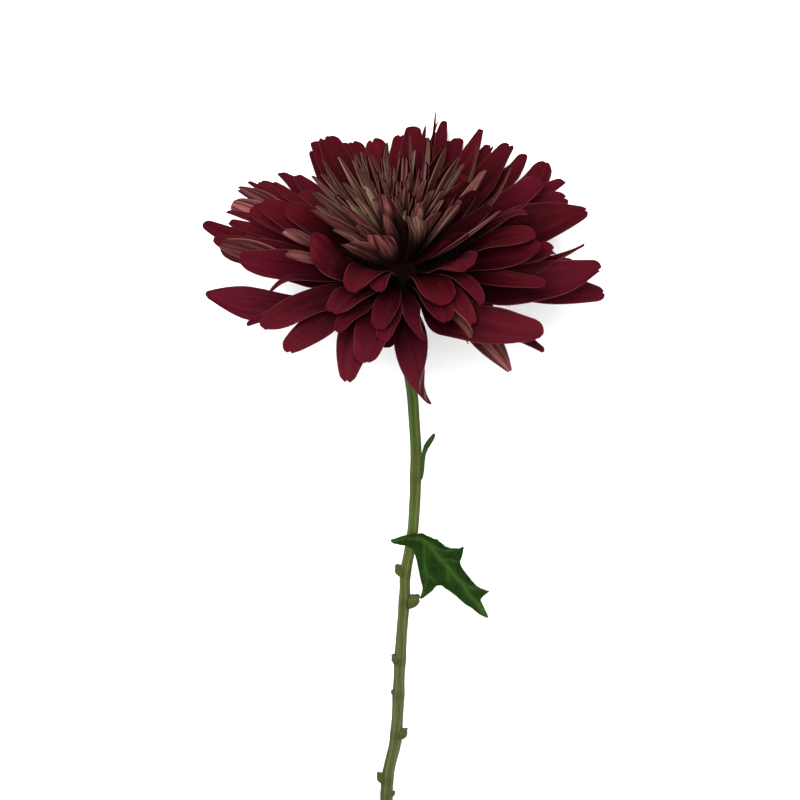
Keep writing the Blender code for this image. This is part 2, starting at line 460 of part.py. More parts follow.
def spiral_florets(spiral, keep, heart, others):
    """Florets on a golden-angle spiral, where keep allows and no other points the same way."""
    made = []
    taken = [f["tip"] / np.linalg.norm(f["tip"]) for f in others]
    for i in range(spiral["count"]):
        rng = random.Random(SEED * spiral["count"] + i)
        share = (i + 0.5) / spiral["count"]
        azimuth = math.radians(i * GOLDEN_DEG)
        rise_deg, reach, width = (
            spiral[name][0] + (spiral[name][1] - spiral[name][0]) * share
            for name in ("rise", "reach", "width")
        )
        rise = math.radians(rise_deg + rng.uniform(-2.5, 2.5))
        reach *= rng.uniform(0.95, 1.03)
        tip = reach * np.array(
            (math.cos(rise) * math.sin(azimuth), math.cos(rise) * math.cos(azimuth), math.sin(rise))
        )
        aim = tip / reach
        if i in spiral["left_out"] or not keep(azimuth, rise_deg):
            continue
        if any(aim @ other > math.cos(math.radians(CLEAR_OF_NEIGHBOUR_DEG)) for other in taken):
            continue
        given = seen(
            0, 0, 0, width,
            bow=0.0 if heart else rng.uniform(-4.0, 10.0),
            cup=rng.uniform(275.0, 310.0) if heart else rng.uniform(20.0, 45.0),
            roll=rng.uniform(-10.0, 10.0),
            sway=rng.uniform(-0.02, 0.02),
            point=rng.uniform(0.4, 0.7) if heart else rng.uniform(0.0, 0.35),
            widest=0.6 if heart else rng.uniform(0.62, 0.76),
            buff=rng.uniform(0.0, 0.6) if heart else rng.uniform(0.0, 0.3),
        )
        made.append(floret(given, tip, heart, rng))
    return made


def foot_florets(rng):
    """Long florets of the lower rim, which the table bends flat and the bloom rests on."""
    made = []
    for azimuth_deg in FOOT_AZIMUTHS_DEG:
        azimuth, rise = math.radians(azimuth_deg), math.radians(FOOT_RISE_DEG)
        flat = math.cos(rise)
        aim = np.array((flat * math.sin(azimuth), flat * math.cos(azimuth), math.sin(rise)))
        fall = -(aim @ BLOOM_AXES)[2]
        reach = (BLOOM_CENTRE.z / MM + FOOT_DEPTH) / fall
        made.append(floret(seen(0, 0, 0, FOOT_WIDTH), reach * aim, False, rng))
    return made


def behind(azimuth, rise_deg):
    """Whether a spiral floret is at the back, where the bloom hides it from the viewer."""
    from_back = abs(math.degrees(math.atan2(math.sin(azimuth), math.cos(azimuth))))
    return from_back < BACK_HALF_DEG + min(rise_deg, 8.0)


def in_front(azimuth, rise_deg):
    return not behind(azimuth, rise_deg)


def crowning(azimuth, rise_deg):
    """Whether a spiral floret of the heart leaves the view of the florets in front of it open."""
    from_back = abs(math.degrees(math.atan2(math.sin(azimuth), math.cos(azimuth))))
    return rise_deg > CROWN_OPEN_RISE or from_back < CROWN_HALF_DEG


def all_florets():
    """The spreading florets, then the heart's."""
    rng = random.Random(SEED)
    spread = seen_florets(FACE_FLORETS, False, rng) + foot_florets(rng)
    spread += spiral_florets(BACK_SPIRAL, behind, False, spread)
    spread += spiral_florets(FRONT_SPIRAL, in_front, False, spread)
    heart = seen_florets(HEART_FLORETS, True, rng)

    heart += spiral_florets(CROWN_SPIRAL, crowning, True, heart)
    return spread, heart


# The stem, in millimetres. Its bends are how far it strays to the right, by distance from the bloom.
STEM_RADIUS_TOP = 1.85
STEM_RADIUS_END = 2.15
STEM_START = 7.6
STEM_STEP = 7.0
STEM_SIDES = 10
STEM_RIDGE = 0.05
STEM_DIP = 0.25
NECK_BEND = (8.0, 34.0)
STEM_SIGHT = 2.0
STEM_BENDS = (
    (0.0, 0.0),
    (27.0, 1.8),
    (41.0, 3.8),
    (62.0, 5.1),
    (79.0, 4.8),
    (92.0, 4.1),
    (99.0, 3.2),
    (106.0, 1.8),
    (111.0, 1.0),
    (118.0, 1.1),
    (134.0, -0.1),
    (146.0, -0.8),
    (167.0, -1.6),
    (179.0, -2.4),
    (185.0, -4.0),
    (192.0, -5.4),
    (200.0, -5.8),
    (235.0, -6.2),
    (262.0, -7.6),
)

# Stubs of the side shoots: distance from the bloom, degrees round the stem from its right, reach, width.
STUB_SIDES = 6
STUB_LEAN = 0.3
STUB_SHAPE = ((0.0, 1.0), (0.7, 0.9), (1.0, 0.45))
STUBS = (
    (109.2, 172.0, 1.9, 3.8),
    (121.0, 12.0, 3.3, 4.6),
    (144.6, 168.0, 1.0, 3.6),
    (158.5, 190.0, 0.7, 1.8),
    (174.8, 8.0, 1.9, 3.7),
    (193.6, 175.0, 1.8, 3.5),
    (200.0, 10.0, 1.0, 2.0),
    (222.0, 60.0, 2.0, 3.0),
)

# Leaves lie along the stem, from a place on its skin: millimetres to the right and towards the bloom.
LEAF_AT = 97.0
LEAF_THICK = 0.8
LEAF_GAP = 0.3
LEAF_DROOP = 7.0
LEAF_DROOP_FROM = 3.0
LEAF_DROOP_SPAN = 32.0
LEAF_WAVE = 0.35
LEAF_WAVE_X = 0.55
LEAF_WAVE_Y = -0.4
LEAF_OUTLINE = (
    (-8.2, 1.5),
    (-4.6, 3.0),
    (0.2, 4.6),
    (3.6, 5.0),
    (8.8, 2.0),
    (12.8, -1.7),
    (17.0, -3.3),
    (19.2, -1.8),
    (18.7, -5.5),
    (17.3, -9.1),
    (22.6, -17.5),
    (26.5, -21.2),
    (29.3, -21.6),
    (25.0, -24.2),
    (26.4, -26.8),
    (28.9, -32.5),
    (24.8, -30.1),
    (17.2, -22.8),
    (11.4, -16.7),
    (9.3, -16.3),
    (7.2, -19.0),
    (2.7, -22.4),
    (4.3, -17.8),
    (3.2, -13.3),
    (1.8, -6.0),
    (0.6, -1.6),
    (-1.4, -0.7),
    (-5.8, -0.1),
)
LEAF_MIDRIB = ((2.2, 3.1), (5.4, 0.7), (10.2, -6.1), (16.0, -13.7), (21.8, -22.7), (26.8, -29.5))
LEAF_SIDE_RIB = ((4.4, -2.5), (4.6, -8.8), (5.8, -14.8))
LEAF_GRID = 3.4

BRACT_AT = 72.0
BRACT_THICK = 1.0
BRACT_RAISED = 1.7
BRACT_OUTLINE = (
    (2.0, -1.0),
    (2.0, 3.0),
    (2.0, 7.0),
    (2.1, 10.6),
    (2.8, 13.4),
    (4.6, 15.8),
    (5.9, 17.3),
    (6.7, 17.2),
    (6.4, 15.4),
    (4.7, 12.6),
    (3.5, 9.8),
    (3.1, 7.0),
    (3.0, 3.4),
    (2.5, 0.0),
)

# The calyx, in millimetres: a shallow cup, with two rows of scales.
CALYX_PROFILE = (
    (0.0, -0.3),
    (8.4, -0.3),
    (9.6, -1.2),
    (9.0, -3.0),
    (6.4, -5.4),
    (3.2, -7.0),
    (2.4, -7.3),
    (0.0, -7.3),
)
CALYX_SIDES = 22
CALYX_SCALES = 11
CORE_SIDES = 24
SCALE_THICK = 0.9
SCALE_BULGE = 0.9
SCALE_SHAPE = ((0.0, 0.8), (0.6, 1.0), (1.0, 0.3))
UPPER_SCALE = ((6.6, -4.4), (10.6, -0.8), 4.6)
LOWER_SCALE = ((3.6, -6.4), (8.4, -3.2), 4.0)

# The bloom's core and the heart's above it, as radius and rise.
CORE_PROFILE = (
    (0.0, 0.0),
    (8.2, 0.0),
    (CORE_RADIUS, 1.4),
    (CORE_RADIUS, 7.6),
    (8.6, CORE_HEIGHT),
    (0.0, CORE_HEIGHT),
)
HEART_PROFILE = (
    (0.0, HEART_BASE),
    (6.8, HEART_BASE),
    (HEART_RADIUS, HEART_BASE + 1.1),
    (6.0, HEART_BASE + 2.9),
    (3.4, HEART_BASE + 3.9),
    (0.0, HEART_BASE + HEART_HEIGHT),
)


def solid(name, points, faces):
    """An object with these world points and faces, its faces turned outwards."""
    mesh = bpy.data.meshes.new(name)
    mesh.from_pydata([tuple(point) for point in points], [], faces)
    work = bmesh.new()
    work.from_mesh(mesh)
    bmesh.ops.delete(work, geom=[corner for corner in work.verts if not corner.link_faces], context="VERTS")
    bmesh.ops.recalc_face_normals(work, faces=work.faces)
    work.to_mesh(mesh)
    work.free()
    made = bpy.data.objects.new(name, mesh)
    bpy.context.collection.objects.link(made)
    return made


def finish(made, colour, roughness):
    """Smooth shading, and a material of the part's own."""
    made.data.shade_smooth()
    made.data.set_sharp_from_angle(angle=math.radians(SHARP_DEG))
    material = bpy.data.materials.new(made.name)
    material.use_nodes = True
    shader = material.node_tree.nodes["Principled BSDF"]
    shader.inputs["Base Color"].default_value = (*colour, 1.0)
    shader.inputs["Roughness"].default_value = roughness
    shader.inputs["Metallic"].default_value = 0.0
    made.data.materials.clear()
    made.data.materials.append(material)


def ring_solid(name, rings):
    """A solid of rings of points, with a flat cap at either end."""
    count, sides = rings.shape[:2]
    points = rings.reshape(-1, 3)
    faces = []
    for i in range(count - 1):
        for j in range(sides):
            a, b = i * sides + j, i * sides + (j + 1) % sides
            c, d = b + sides, a + sides
            if j % 2 == 0:
                faces += [(a, b, c), (a, c, d)]
            else:
                faces += [(a, b, d), (b, c, d)]
    faces.append(tuple(range(sides - 1, -1, -1)))
    faces.append(tuple(range((count - 1) * sides, count * sides)))
    return solid(name, points, faces)


def blade(floret):
    """A spreading floret: rings of edge, face, edge and back."""
    u = np.array(STATIONS)
    reach = np.ones_like(u)
    reach[-1] = TIP_EDGE
    one_edge, middle, other_edge = (floret_points(floret, u, reach * v) for v in (-1.0, 0.0, 1.0))
    half = 0.5 * FLORET_THICK * MM * floret_normals(floret, u, np.zeros_like(u))
    return ring_solid("floret", np.stack([one_edge, middle + half, other_edge, middle - half], axis=1))


def boat(floret):
    """A rolled floret of the heart: rings of side, lip, side and keel."""
    u = np.array(HEART_STATIONS)
    reach = np.ones_like(u)
    one_lip, one_side, middle, other_side, other_lip = (
        floret_points(floret, u, reach * v) for v in (-1.0, -HEART_SIDE, 0.0, HEART_SIDE, 1.0)
    )
    keel = middle - KEEL_THICK * MM * floret_normals(floret, u, np.zeros_like(u))
    lip = 0.5 * (one_lip + other_lip)
    return ring_solid("floret", np.stack([one_side, lip, other_side, keel], axis=1))


def turned(name, profile, sides):
    """A profile of radius and rise, turned about the bloom's axis."""
    points, faces = [], []
    inner = profile[1:-1]
    for radius, rise in inner:
        for j in range(sides):
            angle = 2.0 * math.pi * j / sides
            points.append((radius * math.cos(angle), radius * math.sin(angle), rise))
    for i in range(len(inner) - 1):
        for j in range(sides):
            a, b = i * sides + j, i * sides + (j + 1) % sides
            faces.append((a, b, b + sides, a + sides))
    first, last = len(points), len(points) + 1
    points += [(0.0, 0.0, profile[0][1]), (0.0, 0.0, profile[-1][1])]
    top = (len(inner) - 1) * sides
    for j in range(sides):
        faces.append((first, (j + 1) % sides, j))
        faces.append((last, top + j, top + (j + 1) % sides))
    return solid(name, bloom_to_world(np.array(points)), faces)


def apply_modifiers(made):
    graph = bpy.context.evaluated_depsgraph_get()
    mesh = bpy.data.meshes.new_from_object(made.evaluated_get(graph))
    made.modifiers.clear()
    made.data = mesh


def keep_largest(made):
    """Drops loose scraps and sealed hollows, which leaves one body with one skin."""
    work = bmesh.new()
    work.from_mesh(made.data)
    left, groups = set(work.verts), []
    while left:
        group, edge = set(), {left.pop()}
        while edge:
            corner = edge.pop()
            group.add(corner)
            around = {side.other_vert(corner) for side in corner.link_edges}
            edge |= around - group
        left -= group
        groups.append(group)
    groups.sort(key=len)
    for group in groups[:-1]:
        bmesh.ops.delete(work, geom=list(group), context="VERTS")
    work.to_mesh(made.data)
    work.free()


def fuse(core, pieces):
    """One body of the core and all the pieces, which are then removed."""
    group = bpy.data.collections.new("pieces")
    bpy.context.scene.collection.children.link(group)
    for piece in pieces:
        bpy.context.collection.objects.unlink(piece)
        group.objects.link(piece)
    join = core.modifiers.new("join", "BOOLEAN")
    join.operation = "UNION"
    join.operand_type = "COLLECTION"
    join.collection = group
    join.solver = "MANIFOLD"
    apply_modifiers(core)
    for piece in pieces:
        bpy.data.objects.remove(piece, do_unlink=True)
    bpy.data.collections.remove(group)
    keep_largest(core)


def flatten(made):
    """Takes off what dips below the table, which leaves flat spots to rest on."""
    reach, depth = 0.6, 0.05
    corners = [(x, y, z) for x in (-reach, reach) for y in (-reach, reach) for z in (-depth, 0.0)]
    faces = [(0, 1, 3, 2), (4, 6, 7, 5), (0, 4, 5, 1), (2, 3, 7, 6), (0, 2, 6, 4), (1, 5, 7, 3)]
    table = solid("table", corners, faces)
    cut = made.modifiers.new("table", "BOOLEAN")
    cut.operation = "DIFFERENCE"
    cut.object = table
    cut.solver = "MANIFOLD"
    apply_modifiers(made)
    bpy.data.objects.remove(table, do_unlink=True)


def stem_path():
    """Distances from the bloom's centre and places along the stem, down to where it meets the table."""
    place = Vector(BLOOM_CENTRE)
    distances, places = [0.0], [place.copy()]
    step = 1.0
    while place.z / MM > STEM_RADIUS_END * math.cos(math.radians(STEM_SLOPE_DEG)) - STEM_DIP:
        done = smooth_step((distances[-1] - NECK_BEND[0]) / (NECK_BEND[1] - NECK_BEND[0]))
        lean = BLOOM_LEAN_DEG + (STEM_SLOPE_DEG - BLOOM_LEAN_DEG) * float(done)
        place = place - rotation_axes(lean)[2] * step * MM
        distances.append(distances[-1] + step)
        places.append(place.copy())
    away = [bend[0] for bend in STEM_BENDS]
    sideways = [bend[1] for bend in STEM_BENDS]
    strays = np.interp(distances, away, sideways)
    smooth = np.convolve(np.pad(strays, 3, mode="edge"), np.ones(7) / 7.0, mode="valid")
    for spot, stray in zip(places, smooth):
        spot.x += stray * MM
    return np.array(distances), np.array(places)


def stem_frame(path, distance):
    """A place on the stem's centreline, and its right, its way to the bloom and its upper side."""
    distances, places = path
    here = np.array([np.interp(distance, distances, places[:, k]) for k in range(3)])
    ahead = np.array([np.interp(distance - STEM_SIGHT, distances, places[:, k]) for k in range(3)])
    before = np.array([np.interp(distance + STEM_SIGHT, distances, places[:, k]) for k in range(3)])
    to_bloom = Vector(ahead - before).normalized()
    upper = Vector((1.0, 0.0, 0.0)).cross(to_bloom).normalized()
    right = to_bloom.cross(upper)
    return Vector(here), right, to_bloom, upper


def stem_radius(path, distance):
    share = distance / path[0][-1]
    return STEM_RADIUS_TOP + (STEM_RADIUS_END - STEM_RADIUS_TOP) * share


def stub(path, distance, round_deg, reach, width):
    """What is left of a side shoot: a short blunt cone that leans towards the bloom."""
    centre, right, to_bloom, upper = stem_frame(path, distance)
    angle = math.radians(round_deg)
    out = right * math.cos(angle) + upper * math.sin(angle)
    across = to_bloom.cross(out)
    total = stem_radius(path, distance) + reach
    rings = []
    for share, size in STUB_SHAPE:
        ring = []
        for j in range(STUB_SIDES):
            turn = 2.0 * math.pi * j / STUB_SIDES
            spot = centre + out * total * share * MM + to_bloom * STUB_LEAN * total * share * share * MM
            spot = spot + (to_bloom * math.cos(turn) + across * math.sin(turn)) * 0.5 * width * size * MM
            ring.append(spot)
        rings.append(ring)
    return ring_solid("stub", np.array(rings))


def build_stem(path):
    """The ridged stem, cut square at its end, with its stubs."""
    end = path[0][-1]
    count = int((end - STEM_START) / STEM_STEP)
    rings = []
    for i in range(count + 1):
        distance = STEM_START + (end - STEM_START) * i / count
        centre, right, to_bloom, upper = stem_frame(path, distance)
        ring = []
        for j in range(STEM_SIDES):
            angle = 2.0 * math.pi * j / STEM_SIDES
            radius = stem_radius(path, distance) * (1.0 + STEM_RIDGE * (-1) ** j)
            ring.append(centre + (right * math.cos(angle) + upper * math.sin(angle)) * radius * MM)
        rings.append(ring)
    stem = ring_solid("stem", np.array(rings))
    fuse(stem, [stub(path, *facts) for facts in STUBS])
    flatten(stem)
    finish(stem, (0.10, 0.13, 0.04), 0.55)


def plate(name, outline, ribs, grid, thick, place):
    """A leaf's blade: an outline filled with triangles that are alike on both faces."""
    fixed = [Vector(point) for point in outline] + [Vector(point) for rib in ribs for point in rib]
    edges = [(i, (i + 1) % len(outline)) for i in range(len(outline))]
    start = len(outline)
    for rib in ribs:
        edges += [(start + i, start + i + 1) for i in range(len(rib) - 1)]
        start += len(rib)
    inside = list(fixed)
    if grid:
        low = [min(point[k] for point in outline) for k in range(2)]
        high = [max(point[k] for point in outline) for k in range(2)]
        for i in range(int((high[0] - low[0]) / grid) + 1):
            for j in range(int((high[1] - low[1]) / grid) + 1):
                spot = Vector((low[0] + (i + 0.5 * (j % 2)) * grid, low[1] + j * grid))
                if all((spot - other).length > 0.6 * grid for other in fixed):
                    inside.append(spot)
    face = [tuple(range(len(outline)))]
    flat, _, triangles, _, _, _ = geometry.delaunay_2d_cdt(inside, edges, face, 3, 1e-6)
    count = len(flat)
    points = [place(x, y, 0.5 * thick) for x, y in flat] + [place(x, y, -0.5 * thick) for x, y in flat]
    faces = [tuple(triangle) for triangle in triangles]
    faces += [tuple(count + k for k in reversed(triangle)) for triangle in triangles]
    rim = {}
    for triangle in triangles:
        for k in range(len(triangle)):
            a, b = triangle[k], triangle[(k + 1) % len(triangle)]
            if (b, a) in rim:
                del rim[(b, a)]
            else:
                rim[(a, b)] = True
    faces += [(b, a, count + a, count + b) for a, b in rim]
    return solid(name, points, faces)


def build_leaf(path):
    """The lobed leaf, which clasps the stem's upper side and droops to its right."""
    centre = stem_frame(path, LEAF_AT)[0]
    right, back, to_bloom = rotation_axes(STEM_SLOPE_DEG)
    clear = stem_radius(path, LEAF_AT) * (1.0 + STEM_RIDGE) + LEAF_GAP + 0.5 * LEAF_THICK

    def place(x, y, rise):
        droop = LEAF_DROOP * float(smooth_step((x - LEAF_DROOP_FROM) / LEAF_DROOP_SPAN))
        wave = LEAF_WAVE * math.sin(LEAF_WAVE_X * x + LEAF_WAVE_Y * y)
        height = clear + LEAF_WAVE + wave - droop + rise
        return centre + (right * x + to_bloom * y - back * height) * MM

    leaf = plate("leaf", LEAF_OUTLINE, (LEAF_MIDRIB, LEAF_SIDE_RIB), LEAF_GRID, LEAF_THICK, place)
    finish(leaf, (0.02, 0.06, 0.01), 0.5)


def build_bract_leaf(path):
    """The small narrow leaf, which stands close along the stem's right side."""
    centre, right, to_bloom, upper = stem_frame(path, BRACT_AT)

    def place(x, y, rise):
        return centre + (right * x + to_bloom * y + upper * (BRACT_RAISED + rise)) * MM

    leaf = plate("bract_leaf", BRACT_OUTLINE, (), 0.0, BRACT_THICK, place)
    finish(leaf, (0.03, 0.05, 0.015), 0.5)


def scale_piece(turn, foot, tip, width):
    """A scale of the calyx, which hugs the cup and ends in a blunt point."""
    rings = []
    lift = math.atan2(tip[1] - foot[1], tip[0] - foot[0])
    slope = math.pi / 2.0 - lift
    for share, size in SCALE_SHAPE:
        radius = foot[0] + (tip[0] - foot[0]) * share + SCALE_BULGE * math.sin(math.pi * share)
        height = foot[1] + (tip[1] - foot[1]) * share
        half = 0.5 * width * size
        ring = []
        for across, out in ((-half, 0.0), (0.0, 0.5 * SCALE_THICK), (half, 0.0), (0.0, -0.5 * SCALE_THICK)):
            r = radius + out * math.cos(slope)
            x = r * math.cos(turn) - across * math.sin(turn)
            y = r * math.sin(turn) + across * math.cos(turn)
            ring.append((x, y, height - out * math.sin(slope)))
        rings.append(ring)
    return ring_solid("scale", bloom_to_world(np.array(rings)))


def build_calyx():
    cup = turned("calyx", CALYX_PROFILE, CALYX_SIDES)
    scales = []
    for i in range(CALYX_SCALES):
        turn = 2.0 * math.pi * i / CALYX_SCALES
        scales.append(scale_piece(turn, *UPPER_SCALE))
        scales.append(scale_piece(turn + math.pi / CALYX_SCALES, *LOWER_SCALE))
    fuse(cup, scales)
    finish(cup, (0.09, 0.13, 0.04), 0.6)


def build_bloom():
    spread, heart = all_florets()
    rays = turned("ray_florets", CORE_PROFILE, CORE_SIDES)
    fuse(rays, [blade(facts) for facts in spread])
    flatten(rays)
    finish(rays, (0.11, 0.006, 0.018), 0.6)
    young = turned("heart_florets", HEART_PROFILE, CORE_SIDES)
    fuse(young, [boat(facts) for facts in heart])
    finish(young, (0.17, 0.09, 0.05), 0.6)


def main():
    for thing in list(bpy.data.objects):
        bpy.data.objects.remove(thing, do_unlink=True)
    path = stem_path()
    build_stem(path)
    build_leaf(path)
    build_bract_leaf(path)
    build_calyx()
    build_bloom()


main()
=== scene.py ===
"""The looks of a disbud chrysanthemum that lies on a pale floor, seen from above its open side.

Places in the world are in metres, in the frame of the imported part, and the flower's own sizes are in
millimetres. The florets stand where the part's solids have them.
"""

import math
import random

import bpy
import numpy as np
from mathutils import Matrix, Vector, geometry


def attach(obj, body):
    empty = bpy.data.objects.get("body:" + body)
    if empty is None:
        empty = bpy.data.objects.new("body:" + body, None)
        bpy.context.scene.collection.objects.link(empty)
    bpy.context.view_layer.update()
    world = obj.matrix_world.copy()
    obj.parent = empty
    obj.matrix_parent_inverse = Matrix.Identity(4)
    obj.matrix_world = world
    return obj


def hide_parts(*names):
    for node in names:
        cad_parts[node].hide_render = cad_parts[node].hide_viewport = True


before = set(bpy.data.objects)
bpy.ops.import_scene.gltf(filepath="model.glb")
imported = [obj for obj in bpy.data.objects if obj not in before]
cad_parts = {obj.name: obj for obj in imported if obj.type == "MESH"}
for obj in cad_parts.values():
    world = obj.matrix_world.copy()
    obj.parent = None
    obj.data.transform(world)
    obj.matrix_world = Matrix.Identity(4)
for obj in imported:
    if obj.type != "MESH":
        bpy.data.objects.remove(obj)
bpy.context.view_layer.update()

MM = 0.001

# Where the bloom lies, and how it and its stem lean above the table.
BLOOM_CENTRE = Vector((-0.0008, 0.0766, 0.0530))
STEM_SLOPE_DEG = 12.5
BLOOM_NOD_DEG = 10.0
BLOOM_LEAN_DEG = STEM_SLOPE_DEG + BLOOM_NOD_DEG

# The viewer looks at the bloom from this far above its own plane, and from this distance. The photo is this
# wide there, both in metres, and its middle is this far above and left of the bloom's, in millimetres.
VIEW_RISE_DEG = 30.0
VIEW_DISTANCE = 1.0
PHOTO_WIDTH = 0.28
VIEW_AIM_UP = -38.5
VIEW_AIM_LEFT = 0.7
SENSOR_WIDTH = 36.0

# The bloom's core, in millimetres along and out from its axis.
CORE_RADIUS = 9.5
HEART_RADIUS = 7.2
HEART_BASE = 9.3
HEART_HEIGHT = 4.2
ROOT_DEPTH = 2.2

# Where florets grow from the core: how deep the heart's sit at its axis and its rim, as shares of the root
# depth, then how far in and how high the others sit, in millimetres, by the rise of their tips.
HEART_ROOT_SINK = (0.6, 1.3)
ROOT_TIP_RISE_DEG = (-20.0, 35.0)
ROOT_INSET = (2.2, 3.4)
ROOT_RISE = (1.6, 7.0)

# A floret's outline: the share of its width at its foot, and at a round end, which a point takes more off.
HEART_CLAW = 0.3
SPREAD_CLAW = 0.16
HEART_END = 0.6
SPREAD_END = 0.7
POINT_NARROWS = 0.8
END_ROUND = 1.8

# A floret's bend: steps along its spine, where its hook starts, and how its foot wraps round.
SPINE_STEPS = 65
HOOK_FROM = 0.72
FOOT_CUP_DEG = 115.0
FOOT_CUP_SPAN = 0.4

# The heart's florets stay inside this cone about the axis, and all others outside it.
CONE_APEX = 3.1
CONE_HALF_DEG = 52.0
CONE_SOFT_DEG = 2.5
CONE_NEAREST = 4.0
HEART_MARGIN = 0.9
SPREAD_MARGIN = 1.7

# Florets bend where the table is in their way.
PRESS_FROM = 9.0
PRESS_FLOOR = -1.3
PRESS_SLIDE = 0.5


def seen(
    right, up, toward, width, bow=4, cup=30, roll=0, hook=0, twist=0,
    sway=0.0, point=0.2, widest=0.66, waist=1.0, buff=0.5,
):
    """A floret by where the viewer sees its tip: right, up and nearer than the bloom's centre, in mm.

    Its width is in millimetres too. Bow, cup, roll, hook and twist are degrees: its bend back, how far it
    wraps round, how far its face turns to the viewer, and its tip's curl inwards and turn. Sway is its bend
    to the side and widest the place where it is, both as shares of its length. A large waist keeps its foot
    narrow for long. Its tip goes from round, 0, to pointed, 1, and its back from pink, 0, to buff, 1.
    """
    return dict(locals())


def quill(right, up, toward, width, cup, roll, buff, point=0.6, widest=0.62, **more):
    """A rolled floret of the heart, in the same terms, whose spine is straight."""
    return seen(
        right, up, toward, width, bow=0, cup=cup, roll=roll, point=point, widest=widest, buff=buff, **more
    )


